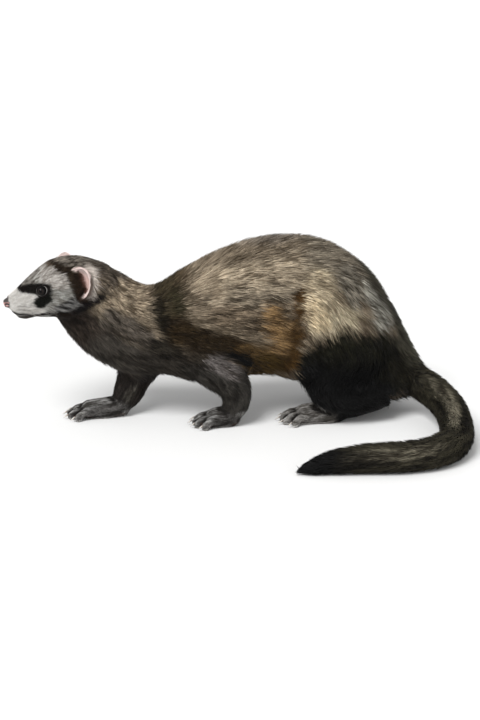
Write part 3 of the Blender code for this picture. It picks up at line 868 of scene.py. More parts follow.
# The same in the head: behind the nose and above the middle line
HEAD_MARKS = [
    ("grey face", (24, 0), (38, 2), 27, 21.5, (136, 133, 128), 0.5),
    ("forehead", (24, 15), (40, 19), 6, 7, (154, 150, 142), 0.6),
    ("forehead's middle", (20.6, 14), (32, 20.6), 1.4, 1.6, (118, 112, 104), 0.8),
    ("cheek", (37, 0), (45, 4), 11, 10, (142, 140, 134), 0.35),
    ("brow", (37, 14), (47, 13), 6.5, 7.5, (172, 166, 159), 0.4),
    ("crown", (34, 28), (50, 27), 6.0, 7.2, (144, 131, 118), 0.9),
    ("crown behind", (51, 26), (68, 24), 8.0, 7.6, (122, 112, 100), 0.9),
    ("muzzle", (8, -1), (19, -3), 12, 12, (202, 199, 194), 0.14),
    ("pink bridge", (8, 8.4), (12, 10), 1.8, 1.8, (180, 158, 152), 0.12),
    ("smudge over the mask", (17, 11.6), (25, 12.8), 1.4, 1.8, (110, 105, 98), 0.6),
    ("mask before the eye", (14.2, 8.4), (22, 8.4), 1.4, 3.3, (28, 25, 23), 0.3),
    ("mask to the eye", (22, 8.4), (29, 7.4), 3.3, 4.6, (26, 24, 22), 0.3),
    ("mask round the eye", (30.2, 6.6), (33.0, 7.2), 5.2, 4.4, (24, 22, 20), 0.3),
    ("mask below the eye", (26.6, -2.4), (31.8, 1.0), 4.6, 4.8, (23, 24, 21), 0.3),
    ("dark before the ear", (53, 15), (57.5, -3), 4.2, 5.4, (53, 45, 36), 0.4),
    ("dark line over the brow", (35, 22.4), (44, 22), 1.0, 1.5, (76, 66, 56), 0.8),
    ("dark line to the ear", (44, 21), (52, 16), 2.0, 2.6, (44, 36, 28), 0.4),
    ("pale fringe behind the ear", (66, 13), (67, 5), 4.0, 4.0, (204, 194, 185), 0.25),
    ("pale fringe, lower", (67, 5), (63, -3.6), 4.0, 3.0, (204, 194, 185), 0.25),
    ("streaked cheek edge", (38, -8.5), (50, -5), 3.2, 3.6, (104, 100, 95), 0.95),
    ("dark jaw", (34, -14), (48, -12), 2.6, 3.4, (32, 26, 22), 0.6),
    ("dark below the ear", (48, -12), (61, -9.6), 3.6, 3.4, (24, 18, 13), 0.35),
    ("dark behind the ear", (61, -9.6), (74, -4.6), 3.4, 3.0, (24, 18, 13), 0.35),
    ("chin", (6, -15), (24, -17), 3.6, 3.4, (72, 68, 64), 0.3),
    ("under the jaw", (31, -23), (50, -21), 7.0, 7.0, (42, 36, 32), 0.5),
]
print("markings:", len(BODY_MARKS) + len(HEAD_MARKS))

# %% How a colour goes on
WARMER = np.array((0.06, 0.0, -0.08))  # how much redder the dark hairs are than the light ones
DEEPER = 1.32  # a long coat looks darker than its hairs, because they shade one another
DEEPER_SHORT = 1.12  # and so does short hair, a little
GLOSS = 0.006  # and shines a little, which the darkest hairs give back


def blend_in(pair, mask, colour, contrast, gain=DEEPER):
    """Moves the dark and the light hair colour towards two that lie round one mean."""
    mean = np.clip(linear(colour) * gain - GLOSS, 0.002, 0.9)
    for row, turn in zip(pair, (-contrast, contrast)):
        row += (np.minimum(mean * (1 + turn) * (1 - turn * WARMER), 0.95) - row) * mask[:, None]


print("a middle grey in linear numbers:", linear((128, 128, 128)).round(3))

# %% Find what the hair of each place reaches
HAIR_SHOWS = (0.58, 0.88)  # how far along its length a hair gives its colour, least and most
chance = np.random.default_rng(7).uniform(*HAIR_SHOWS, len(places)) * (1 - ears) * (1 - 0.8 * ruff)
shown = places + lie * (length * chance)[:, None]
rounder = relaxed(places, edges_of(skin.data), 40, np.ones(len(places)), 0)
bulge = np.einsum("ij,ij->i", places - rounder, out) / MM  # ridges above zero, hollows below
survey_shown = surveyed(shown)
pair = np.zeros((2, len(places), 3))
print("hair shows its colour up to", round(float((length * chance).max()) / MM, 1), "mm past its root")


def report(part):
    print(part, "painted; mean light hair:", pair[1].mean(axis=0).round(3))


# %% Paint the trunk, from its marks
SOFT, SHARP = 0.28, 0.12  # the share of a mark's reach over which it fades
BASE_COAT = (112, 100, 84)


def paint_trunk(pair, survey, out):
    sketch = survey["sketch"]
    blend_in(pair, np.ones(len(out)), BASE_COAT, 0.5)
    for name, start, end, near, far, colour, contrast in BODY_MARKS:
        soft = SHARP if name.startswith(CRISP) else SOFT
        blend_in(pair, stroke(sketch[:, [0, 2]], start, end, near, far, soft), colour, contrast)
    under_rump = smooth(-out[:, 2], 0.3, 0.7) * smooth(sketch[:, 0], 52, 68)
    blend_in(pair, under_rump, (32, 29, 25), 0.5)


paint_trunk(pair, survey_shown, out)
report("trunk")

# %% [markdown]
# ### Legs and feet
# A sable ferret wears dark stockings, and its toes are grey, because the hair there is short. The
# ridges of the toes catch the light and the clefts between them stay dark, so the feet get a painted
# highlight on their ridges and tops and painted shade in their clefts, found from the skin's own
# ridges and hollows against a smoother copy of it.

# %% Paint legs and feet


def paint_legs(pair, survey, out, bulge):
    sketch, parts = survey["sketch"], survey["parts"]
    hind = sketch[:, 0] > 30
    legs = smooth(parts[:, LIMB] + parts[:, FOOT] + 0.006 * (34 - sketch[:, 2]), 0.35, 0.8)
    legs *= 1 - smooth(sketch[:, 2], 44, 58)
    far_leg = legs * (sketch[:, 0] < -50)
    blend_in(pair, legs * ~hind, (49, 46, 42), 0.6)
    blend_in(pair, legs * hind, (18, 16, 14), 0.5)
    # painted highlight: a lighter grey patch on the near upper arm
    blend_in(pair, stroke(sketch, (-16, -36, 53), (0, -38, 45), 8, 7), (90, 84, 80), 0.6)  # upper arm
    # painted shade: the far foreleg is painted darker than the near one
    blend_in(pair, far_leg, (38, 34, 31), 0.6)
    blend_in(pair, far_leg * stroke(sketch, (-79, -8, 30), (-88, -11, 16), 3, 4), (66, 62, 56), 0.6)

    heel = np.where(hind, np.where(sketch[:, 1] > 8, 104, 74), 999)  # the foot's paint ends there
    feet = parts[:, FOOT] * (1 - smooth(sketch[:, 2], 13, 19)) * smooth(heel - sketch[:, 0], -8, 8)
    feet = smooth(feet, 0.3, 0.9)
    blend_in(pair, feet, (66, 63, 60), 0.75)
    # painted highlight: the tops of the feet, which face up to the light, are painted lighter
    blend_in(pair, feet * smooth(out[:, 2], 0.4, 0.85), (98, 95, 91), 0.8)
    blend_in(pair, feet * hind, (100, 96, 91), 0.7)
    # painted highlight on the ridges of the toes
    blend_in(pair, feet * smooth(bulge, 0.4, 0.9), (138, 135, 130), 0.6)
    # painted shade in the clefts between the toes
    blend_in(pair, feet * smooth(-bulge, -0.1, 0.3), (26, 24, 22), 0.4)
    blend_in(pair, feet * smooth(-out[:, 2], 0.6, 0.9), (92, 74, 68), 0.12, 1)  # the pads


paint_legs(pair, survey_shown, out, bulge)
report("legs and feet")

# %% [markdown]
# ### Tail
# The tail is dark all round, with a painted highlight along it: a lighter streak on the side that
# faces up and out, towards the light, and a black tip. A mark in the side view would cut across its
# curl, so the streak goes by the way the skin faces, which holds all the way round the bend.

# %% Paint the tail


def paint_tail(pair, survey, out):
    """A dark tail with one painted highlight, a light streak along its lit side, and a black tip."""
    sketch = survey["sketch"]
    tail = smooth(survey["parts"][:, TAIL], 0.25, 0.7)
    blend_in(pair, tail, (40, 37, 30), 0.75)
    low = smooth(-sketch[:, 1], 85, 120)[:, None]  # where the tail comes round towards the nose
    lit_side = (1 - low) * np.array((-0.28, -0.2, 0.94)) + low * np.array((0.0, -0.8, 0.6))
    lit_side /= np.linalg.norm(lit_side, axis=1, keepdims=True)
    narrow = 0.88 - 0.1 * low[:, 0]
    # painted highlight: the streak lies where the skin faces the lit side
    upper = smooth(np.einsum("ij,ij->i", out, lit_side), narrow, 0.985) * smooth(sketch[:, 0], 60, 120)
    upper *= 0.15 + 0.85 * smooth(-sketch[:, 1], 10, 45)
    blend_in(pair, tail * upper, (90, 84, 71), 0.75)
    tip = smooth(-sketch[:, 0], -84, -62) * (sketch[:, 1] < -100)
    blend_in(pair, tip * tail, (15, 14, 13), 0.5)


paint_tail(pair, survey_shown, out)
report("tail")

# %% [markdown]
# ### Face
# The mask makes a ferret's face: dark hair round the eyes, a pale brow above and a pale muzzle in
# front. Its marks lie in the head's own side view, so one list paints both sides alike.

# %% Paint the face, from its marks


def paint_face(pair, shown, places):
    head = mirrored_head(shown)
    on_head = 1 - smooth(head[:, 0], 71, 80)
    for name, start, end, near, far, colour, contrast in HEAD_MARKS:
        mask = stroke(head[:, [0, 2]], start, end, near, far, 0.14)
        blend_in(pair, mask * on_head, colour, contrast, DEEPER_SHORT)
    head = mirrored_head(places)
    # painted shade: the whisker folds are painted a darker grey along their creases
    for fold in FOLDS:
        blend_in(pair, 0.7 * on_path(head, fold, 0.5) * smooth(head[:, 1], 4, 7), (128, 125, 121), 0.2)
    blend_in(pair, np.clip(1.4 * on_path(head, LIP, 1.05), 0, 1), (24, 20, 19), 0.2)
    blend_in(pair, 1 - smooth(from_nose(head), BARE_NOSE, 1.3), (72, 62, 59), 0.1, 1)


paint_face(pair, shown, places)
report("face")

# %% [markdown]
# ### Ears and lids
# An ear is thin skin, nearly bare, with dark hair in its hollow, painted darker still as shade,
# red-brown painted shade on the skin deep in the cup, and a soft pale rim. The cup's own directions
# tell hollow, wall and rim apart, which flat marks could not do on so thin a shape. The lids are black
# with a fine grey ring, and they follow the eye's slit.

# %% Paint the ears
SKIN_PINK = (216, 186, 178)


def paint_ears(pair, places, out):
    """Dark hair in the hollow, darkened as painted shade, red-brown painted shade deeper in the cup, a pink
    crescent of skin round it, and a brown back.
    """
    zone = ear_zone(places)
    for side in SIDES.values():
        cup = in_ear(places, side)
        near = zone * (np.linalg.norm(cup, axis=1) < 1.6)
        facing = ear_side(places, out, side)
        hollow, slant = ear_hollow(cup), cup @ EAR_SLANT
        pink = smooth(slant, 0.24, 0.36)
        # dark hair in the hollow, painted darker for the shade in it
        blend_in(pair, hollow * (1 - near), (44, 34, 27), 0.35, 1)
        # painted shade: red-brown where the hollow turns in towards the pink crescent
        blend_in(pair, hollow * smooth(slant, 0.04, 0.24), (94, 66, 56), 0.2, 1)
        blend_in(pair, hollow * pink, SKIN_PINK, 0.06, 1)
        blend_in(pair, near * smooth(facing, 0.2, 0.5), (120, 106, 97), 0.3, 1)
        near = smooth(near, 0.1, 0.5)
        inner = near * (1 - smooth(facing, -0.1, 0.3))
        # painted shade: the inner wall is red-brown deep in the cup, and pink only nearer the rim
        blend_in(pair, inner, (140, 92, 82), 0.12, 1)
        pink = np.maximum(pink, smooth(cup[:, 2] + 0.3 * cup[:, 1], -0.9, -0.45))
        blend_in(pair, inner * pink, SKIN_PINK, 0.06, 1)
        rim = near * smooth(cup[:, 2], -0.34, -0.12) * (facing < 0.8)
        tipped = near * smooth(cup[:, 1], 0.45, 0.7) * smooth(cup[:, 2], -0.75, -0.5)
        blend_in(pair, np.maximum(rim, tipped), (226, 206, 200), 0.06, 1)
        blend_in(pair, near * (1 - smooth(cup[:, 1], -0.78, -0.6)), (56, 45, 38), 0.3)


paint_ears(pair, places, out)
report("ears")

# %% Paint the lids and keep both colours on the skin


def paint_lids(pair, places):
    """Black lids with a thin grey ring a little way out from the slit."""
    for name, side in SIDES.items():
        slit, near = eye_slit(places, name, side)
        blend_in(pair, near * (1 - smooth(slit, 1.5, 1.9)), (24, 21, 20), 0.2)
        ring = near * smooth(slit, 1.04, 1.1) * (1 - smooth(slit, 1.26, 1.34))
        blend_in(pair, ring, (112, 110, 106), 0.1)


paint_lids(pair, places)
report("lids")
store(skin.data, "dark", pair[0], "FLOAT_COLOR")
store(skin.data, "light", pair[1], "FLOAT_COLOR")

# %% [markdown]
# ## A flat map of the skin
# Each tuft's patch on the flat map lies at its root's place on an unwrap of the skin's own shape.
# Smart UV Project cuts the closed skin into charts and packs them.

# %% Unwrap the skin
bpy.context.view_layer.objects.active = skin
skin.select_set(True)
bpy.ops.object.mode_set(mode="EDIT")
bpy.ops.mesh.select_all(action="SELECT")
bpy.ops.uv.smart_project(angle_limit=math.radians(66), island_margin=0.002)
bpy.ops.object.mode_set(mode="OBJECT")
skin.select_set(False)
skin.data.uv_layers.active.name = "skin_map"
skin.data.shade_smooth()
print("charts packed on", skin.data.uv_layers.active.name)

# %% [markdown]
# ## The skin's own finish
# Between the tufts the skin shows the same markings, darker because light hardly reaches it. Fine
# noise gives the short flat hair of face and feet its grain.

# %% Skin material


def named(tree, name, kind_of="Color"):
    node = add(tree, "ShaderNodeAttribute", attribute_name=name)
    return node.outputs[kind_of]


def mixed(tree, share, a, b, blend="MIX"):
    node = add(tree, "ShaderNodeMix", data_type="RGBA", blend_type=blend)
    for index, value in ((0, share), (6, a), (7, b)):
        if isinstance(value, bpy.types.NodeSocket):
            tree.links.new(value, node.inputs[index])
        else:
            node.inputs[index].default_value = value
    return node.outputs[2]


skin_material, tree, shader = new_material("skin", 0.75, 0.15)
where = add(tree, "ShaderNodeTexCoord").outputs["Object"]
grain = add(tree, "ShaderNodeTexNoise", {"Vector": where, "Scale": 1500.0, "Detail": 3.0})
patches = add(tree, "ShaderNodeTexNoise", {"Vector": where, "Scale": 380.0, "Detail": 2.0})
colour = mixed(tree, patches.outputs["Fac"], named(tree, "dark"), named(tree, "light"))
shaded = mixed(tree, 0.35, colour, (0.0, 0.0, 0.0, 1.0))
tree.links.new(shaded, shader.inputs["Base Color"])
bump = add(tree, "ShaderNodeBump", {"Height": grain.outputs["Fac"], "Strength": 0.5, "Distance": 0.0003})
tree.links.new(bump.outputs["Normal"], shader.inputs["Normal"])
skin.data.materials.clear()
skin.data.materials.append(skin_material)
print("skin material:", len(tree.nodes), "nodes")

# %% [markdown]
# ## Tufts, laid by Geometry Nodes
# A tuft is a thin three-sided blade. The tree scatters points on one zone of the skin, stands a blade
# on each, turned to the lie of the coat, and realizes them. Then every vertex of a blade is settled:
# the tree finds the skin below it and sets its height by how far along the blade it is. So the coat
# follows every curve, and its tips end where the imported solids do.

# %% Start the coat's tree with its inputs
COAT_INPUTS = [
    ("Zone", "NodeSocketInt", 0),
    ("Spacing", "NodeSocketFloat", 1.3 * MM),
    ("Width", "NodeSocketFloat", 0.9 * MM),
    ("Thickness", "NodeSocketFloat", 0.35 * MM),
    ("Wander", "NodeSocketFloat", 0.22),
    ("Rings", "NodeSocketInt", 3),
    ("Seed", "NodeSocketInt", 1),
    ("Finish", "NodeSocketMaterial", None),
]
coat_rules = bpy.data.node_groups.new("lay_a_coat", "GeometryNodeTree")
coat_rules.interface.new_socket("Skin", in_out="INPUT", socket_type="NodeSocketGeometry")
for name, socket_type, value in COAT_INPUTS:
    socket = coat_rules.interface.new_socket(name, in_out="INPUT", socket_type=socket_type)
    if value is not None:
        socket.default_value = value
coat_rules.interface.new_socket("Coat", in_out="OUTPUT", socket_type="NodeSocketGeometry")
given = add(coat_rules, "NodeGroupInput").outputs
print("inputs:", [name for name, socket_type, value in COAT_INPUTS])

# %% Short words for the nodes that recur


def math_of(operation, *values):
    return add(coat_rules, "ShaderNodeMath", dict(enumerate(values)), operation=operation).outputs[0]


def vector_of(operation, *values):
    keys = ("Vector", "Scale") if operation == "SCALE" else (0, 1)
    node = add(coat_rules, "ShaderNodeVectorMath", dict(zip(keys, values)), operation=operation)
    return node.outputs["Vector"]


def vector_from(x, y, z):
    return add(coat_rules, "ShaderNodeCombineXYZ", {0: x, 1: y, 2: z}).outputs[0]


def read(name, data_type="FLOAT"):
    feeds = {"Name": name}
    return add(coat_rules, "GeometryNodeInputNamedAttribute", feeds, data_type=data_type).outputs[0]


def keep(geometry, name, value, data_type="FLOAT", domain="POINT"):
    feeds = {"Geometry": geometry, "Name": name, "Value": value}
    kinds = {"data_type": data_type, "domain": domain}
    return add(coat_rules, "GeometryNodeStoreNamedAttribute", feeds, **kinds).outputs[0]


def drawn(low, high, offset):
    """A number between two others, drawn for each tuft; each offset gives draws of its own."""
    feeds = {2: low, 3: high, 8: math_of("ADD", given["Seed"], offset)}
    return add(coat_rules, "FunctionNodeRandomValue", feeds, data_type="FLOAT").outputs[1]


print("nodes so far:", len(coat_rules.nodes))

# %% [markdown]
# ### Roots and directions
# A Poisson scatter keeps every two roots apart, so the coat is even and shows no rows. Each tuft
# turns a little out of the common lie by a noise that its neighbours share, and that gathers the
# hair into locks.

# %% Scatter the roots over one zone
TRIES = 2.2  # places tried in each square of the spacing, of which those too close are dropped
feeds = {2: read("zone", "INT"), 3: given["Zone"]}
in_zone = add(coat_rules, "FunctionNodeCompare", feeds, data_type="INT", operation="EQUAL")
crowd = math_of("DIVIDE", TRIES, math_of("MULTIPLY", given["Spacing"], given["Spacing"]))
feeds = {
    "Mesh": given["Skin"],
    "Selection": in_zone.outputs[0],
    "Distance Min": given["Spacing"],
    "Density Max": crowd,
    "Density Factor": read("furred"),
    "Seed": given["Seed"],
}
scatter = add(coat_rules, "GeometryNodeDistributePointsOnFaces", feeds, distribute_method="POISSON")
roots, normal = scatter.outputs["Points"], scatter.outputs["Normal"]
here = add(coat_rules, "GeometryNodeInputPosition").outputs[0]
print("nodes so far:", len(coat_rules.nodes))

# %% Turn each tuft to the lie of the coat
LOCK_SCALE, LOCK_WANDER = 110.0, 3.4  # neighbours wander together, so that locks form
feeds = {"Vector": here, "Scale": LOCK_SCALE, "Detail": 1.0}
lock = add(coat_rules, "ShaderNodeTexNoise", feeds).outputs[0]
yaw = math_of("MULTIPLY", math_of("SUBTRACT", lock, 0.5), math_of("MULTIPLY", given["Wander"], LOCK_WANDER))
yaw = math_of("ADD", yaw, math_of("MULTIPLY", drawn(-0.5, 0.5, 1), given["Wander"]))
feeds = {"Vector": read("lie", "FLOAT_VECTOR"), "Axis": normal, "Angle": yaw}
turned = add(coat_rules, "ShaderNodeVectorRotate", feeds, rotation_type="AXIS_ANGLE").outputs[0]
across = vector_of("CROSS_PRODUCT", normal, turned)
print("nodes so far:", len(coat_rules.nodes))

# %% [markdown]
# ### Streaks
# Dark and light hairs lie in streaks that run with the coat. The noise that shades the tufts changes
# fast across the body and slowly along it. It is read in distances along the body and off its
# middle line, so the streaks bend where the animal bends.

# %% Streaks of dark and light hair run along the body
STREAK_ACROSS, STREAK_ALONG = 0.33, 0.045  # how fast the noise changes, per millimetre
STREAK_GAIN, STREAK_STRAY = 5.4, 0.28
streak = add(coat_rules, "ShaderNodeTexNoise", {"Scale": 1.0, "Detail": 3.0}, noise_dimensions="4D")
side_on = vector_of("SCALE", read("off_axis", "FLOAT_VECTOR"), STREAK_ACROSS)
coat_rules.links.new(side_on, streak.inputs["Vector"])
coat_rules.links.new(math_of("MULTIPLY", read("along_body"), STREAK_ALONG), streak.inputs["W"])
shade = math_of("MULTIPLY", math_of("SUBTRACT", streak.outputs[0], 0.5), STREAK_GAIN)
shade = math_of("ADD", math_of("ADD", shade, drawn(-STREAK_STRAY, STREAK_STRAY, 2)), 0.5)
print("nodes so far:", len(coat_rules.nodes))

# %% Keep each tuft's own values on its root
OWN_VALUES = [
    ("root", here, "FLOAT_VECTOR"),
    ("blade", turned, "FLOAT_VECTOR"),
    ("across", across, "FLOAT_VECTOR"),
    ("up", normal, "FLOAT_VECTOR"),
    ("shade", shade, "FLOAT"),
    ("long", math_of("MULTIPLY", read("hair_length"), drawn(0.72, 1.18, 3)), "FLOAT"),
    ("high", math_of("MULTIPLY", read("tip_height"), drawn(0.5, 1.12, 4)), "FLOAT"),
    ("bend", drawn(-0.05, 0.05, 5), "FLOAT"),
]
for name, value, data_type in OWN_VALUES:
    roots = keep(roots, name, value, data_type)
print("kept:", [name for name, value, data_type in OWN_VALUES])

# %% [markdown]
# ### The blade
# A cone with three sides is the cheapest closed solid with a point. Its width follows a curve, so
# that it looks like a pinch of hair and not like a spike.

# %% Shape one blade
# Narrow at its root, widest a third of the way along, and drawn out to a point
feeds = {"Vertices": 3, "Side Segments": given["Rings"]}
feeds |= {"Radius Top": 0.0, "Radius Bottom": 1.0, "Depth": 1.0}
blade = add(coat_rules, "GeometryNodeMeshCone", feeds, fill_type="NGON").outputs[0]
spot = add(coat_rules, "GeometryNodeInputPosition").outputs[0]
spot = add(coat_rules, "ShaderNodeSeparateXYZ", {0: spot}).outputs
ROOT_WIDTH, SWELLING, POINTED = 0.55, 2.4, 0.8
left = math_of("MAXIMUM", math_of("SUBTRACT", 1.0, spot[2]), 0.001)  # of the blade's length
swell = math_of("ADD", math_of("MULTIPLY", spot[2], SWELLING), ROOT_WIDTH)
swell = math_of("MULTIPLY", swell, math_of("POWER", left, POINTED))
fuller = math_of("DIVIDE", swell, left)
shaped = vector_from(math_of("MULTIPLY", spot[0], fuller), math_of("MULTIPLY", spot[1], fuller), spot[2])
blade = keep(blade, "t", spot[2])
blade = keep(blade, "v", math_of("ADD", math_of("MULTIPLY", spot[1], 0.55), 0.5))
blade = add(coat_rules, "GeometryNodeSetPosition", {"Geometry": blade, "Position": shaped}).outputs[0]
blade = add(coat_rules, "GeometryNodeSetShadeSmooth", {"Geometry": blade}).outputs[0]
print("nodes so far:", len(coat_rules.nodes))

# %% Stand a blade on every root
FULL_LENGTH = 0.016  # metres; shorter hair is slimmer too
feeds = {0: read("blade", "FLOAT_VECTOR"), 1: read("up", "FLOAT_VECTOR")}
axes = add(coat_rules, "FunctionNodeAxesToRotation", feeds, primary_axis="Z", secondary_axis="X")
slim = math_of("POWER", math_of("DIVIDE", read("hair_length"), FULL_LENGTH), 0.25)
slim = math_of("MULTIPLY", drawn(0.7, 1.25, 6), slim)
thick = math_of("MULTIPLY", given["Thickness"], slim)
wide = math_of("MULTIPLY", given["Width"], math_of("MULTIPLY", slim, 0.58))
size = vector_from(thick, wide, read("long"))
feeds = {"Points": roots, "Instance": blade, "Rotation": axes.outputs[0], "Scale": size}
stood = add(coat_rules, "GeometryNodeInstanceOnPoints", feeds).outputs[0]
coat = add(coat_rules, "GeometryNodeRealizeInstances", {"Geometry": stood}).outputs[0]
print("nodes so far:", len(coat_rules.nodes))

# %% [markdown]
# ### Settling
# A straight blade would stab into a curved back or hover over it. So every vertex finds the nearest
# skin and takes its own height above it, low at the root and highest at the tip. The loose tufts of
# belly and brush keep nearer to their straight line, and none goes below the floor.

# %% Find the skin below every vertex of a blade
now = add(coat_rules, "GeometryNodeInputPosition").outputs[0]
reach_on = math_of("MULTIPLY", read("long"), read("t"))
middle = vector_of("SCALE", read("blade", "FLOAT_VECTOR"), reach_on)
middle = vector_of("ADD", read("root", "FLOAT_VECTOR"), middle)
aside = vector_of("SUBTRACT", now, middle)
sway = math_of("MULTIPLY", read("bend"), read("long"))
sway = math_of("MULTIPLY", sway, math_of("POWER", read("t"), 2.0))
middle = vector_of("ADD", middle, vector_of("SCALE", read("across", "FLOAT_VECTOR"), sway))
feeds = {0: given["Skin"], "Sample Position": middle}
below = add(coat_rules, "GeometryNodeProximity", feeds, target_element="FACES").outputs[0]
facing = add(coat_rules, "GeometryNodeSampleNearestSurface", data_type="FLOAT_VECTOR")
skin_normal = add(coat_rules, "GeometryNodeInputNormal").outputs[0]
for key, value in (("Mesh", given["Skin"]), ("Value", skin_normal), ("Sample Position", middle)):
    coat_rules.links.new(value, facing.inputs[key])
print("nodes so far:", len(coat_rules.nodes))

# %% Settle it at its own height over the skin
FREE_LIFT = 0.4  # share of its height by which a loose tuft leaves its straight line
FLOOR_GAP = 0.15 * MM
rise = math_of("SUBTRACT", math_of("MULTIPLY", math_of("POWER", read("t"), 0.8), 1.12), 0.12)
height = math_of("MULTIPLY", rise, read("high"))
laid = vector_of("ADD", below, vector_of("SCALE", facing.outputs[0], height))
lifted = vector_of("SCALE", read("up", "FLOAT_VECTOR"), math_of("MULTIPLY", height, FREE_LIFT))
free = vector_of("ADD", middle, lifted)
feeds = {0: read("loose"), 4: laid, 5: free}
chosen = add(coat_rules, "ShaderNodeMix", feeds, data_type="VECTOR").outputs[1]
final = vector_of("MAXIMUM", vector_of("ADD", chosen, aside), (-9.0, -9.0, FLOOR_GAP))
coat = add(coat_rules, "GeometryNodeSetPosition", {"Geometry": coat, "Position": final}).outputs[0]
print("nodes so far:", len(coat_rules.nodes))

# %% Give each tuft its patch on the flat map, and its finish
PATCH = 0.003  # a tuft's own size on the flat map
corner = vector_of("SCALE", vector_from(read("v"), read("t"), 0.0), PATCH)
patch = vector_of("ADD", vector_of("SCALE", read("skin_map", "FLOAT_VECTOR"), 1 - PATCH), corner)
coat = keep(coat, "OFBake", patch, "FLOAT2", "CORNER")
feeds = {"Geometry": coat, "Material": given["Finish"]}
coat = add(coat_rules, "GeometryNodeSetMaterial", feeds).outputs[0]
add(coat_rules, "NodeGroupOutput", {0: coat})
print("the coat's tree has", len(coat_rules.nodes), "nodes")

# %% [markdown]
# ## The hair's finish
# Each tuft takes its root's two colours and one shade between them. It is darker at its root, where
# its neighbours shut out the light, and has a soft shine along its length.

# %% Hair material
hair_material, tree, shader = new_material("hair", 0.55, 0.14)
shade = named(tree, "shade", "Fac")
step = add(tree, "ShaderNodeMapRange", {"Value": shade, 1: -0.1, 2: 1.1}, interpolation_type="SMOOTHSTEP")
colour = mixed(tree, step.outputs[0], named(tree, "dark"), named(tree, "light"))
feeds = {"Value": named(tree, "t", "Fac"), 1: 0.0, 2: 0.5, 3: 0.4, 4: 0.0}
root_shade = add(tree, "ShaderNodeMapRange", feeds)
colour = mixed(tree, root_shade.outputs[0], colour, (0.0, 0.0, 0.0, 1.0))
tree.links.new(colour, shader.inputs["Base Color"])
shader.inputs["Sheen Weight"].default_value = 0.02
shader.inputs["Sheen Roughness"].default_value = 0.4
print("hair material:", len(tree.nodes), "nodes")

# %% [markdown]
# ## Zones of the coat
# A piece may hold just so many faces, so the coat is laid in zones: two halves of the face with the
# finest tufts, then neck, shoulders, middle, rump, haunches, tail and fore legs.

# %% Mark the zones on the skin's faces
ZONES = ["face_left", "face_right", "neck", "shoulders", "middle", "rump", "haunches", "tail", "fore_legs"]


def zone_of_faces(mesh, survey):
    corners = gathered(mesh.loops, "vertex_index", number=np.int32)
    first = corners[gathered(mesh.polygons, "loop_start", number=np.int32)]
    head, sketch, parts = survey["head"][first], survey["sketch"][first], survey["parts"][first]
    zone = np.full(len(first), ZONES.index("middle"))
    zone[sketch[:, 0] < -22] = ZONES.index("shoulders")
    zone[sketch[:, 0] < -76] = ZONES.index("neck")
    zone[sketch[:, 0] > 34] = ZONES.index("rump")
    near_floor = parts[:, LIMB] + parts[:, FOOT] > 0.5
    zone[near_floor & (sketch[:, 0] < 20)] = ZONES.index("fore_legs")
    zone[(near_floor | (sketch[:, 2] < 60)) & (sketch[:, 0] > 40)] = ZONES.index("haunches")
    zone[parts[:, TAIL] > 0.5] = ZONES.index("tail")
    face = (head[:, 0] < 66) & (parts[:, HEAD] > 0.3)
    zone[face & (head[:, 1] >= 0)] = ZONES.index("face_left")
    zone[face & (head[:, 1] < 0)] = ZONES.index("face_right")
    return zone


zones = zone_of_faces(skin.data, survey)
attribute = skin.data.attributes.new("zone", "INT", "FACE")
attribute.data.foreach_set("value", zones.astype(np.int32))
areas = gathered(skin.data.polygons, "area")
zone_area = {name: areas[zones == k].sum() / MM**2 for k, name in enumerate(ZONES)}
print({name: round(area) for name, area in zone_area.items()})

# %% Lay the coat, zone by zone
BLADES = 24000
FACE_BLADES = 21000
BODY_BLADE, FACE_BLADE = (0.8 * MM, 0.28 * MM), (0.42 * MM, 0.13 * MM)  # width and thickness
PACKED = 0.72  # blades per square of the spacing that the scatter really fits in
WANDER = {"face_left": 0.16, "face_right": 0.16, "tail": 0.1}
sockets = coat_rules.interface.items_tree
identifiers = {item.name: item.identifier for item in sockets if item.in_out == "INPUT"}
coat_pieces = {}
for number, zone in enumerate(ZONES):
    on_face = zone.startswith("face")
    wanted = FACE_BLADES if on_face else BLADES
    width, thickness = FACE_BLADE if on_face else BODY_BLADE
    spacing = math.sqrt(PACKED * zone_area[zone] / wanted) * MM
    values = {
        "Zone": number,
        "Spacing": spacing,
        "Width": width,
        "Thickness": thickness,
        "Wander": WANDER.get(zone, 0.22),
        "Rings": 2,
        "Seed": 11 + number,
        "Finish": hair_material,
    }
    modifier = skin.modifiers.new("coat", "NODES")
    modifier.node_group = coat_rules
    for name, value in values.items():
        modifier[identifiers[name]] = value
    graph = bpy.context.evaluated_depsgraph_get()
    mesh = bpy.data.meshes.new_from_object(skin.evaluated_get(graph))
    skin.modifiers.clear()
    piece = link("coat_" + zone, mesh)
    coat_pieces[zone] = piece
    triangles = sum(len(p.vertices) - 2 for p in mesh.polygons)
    print(f"{zone:12s} spacing {spacing / MM:.2f} mm, {triangles} triangles")

# %% Drop what the coat no longer needs
NEEDED = ("position", "dark", "light", "shade", "t", "OFBake", "sharp_face", "material_index")
for piece in coat_pieces.values():
    for name in [a.name for a in piece.data.attributes]:
        if name not in NEEDED and not name.startswith("."):
            piece.data.attributes.remove(piece.data.attributes[name])
    print(piece.name, [a.name for a in piece.data.attributes if not a.name.startswith(".")])

# %% [markdown]
# ## Eyes
# A ferret's eye is a small, very dark bead. The ball is the solid's own size, with the clear front
# swelling out a little, a black pupil in a brown iris, and a wet shine.

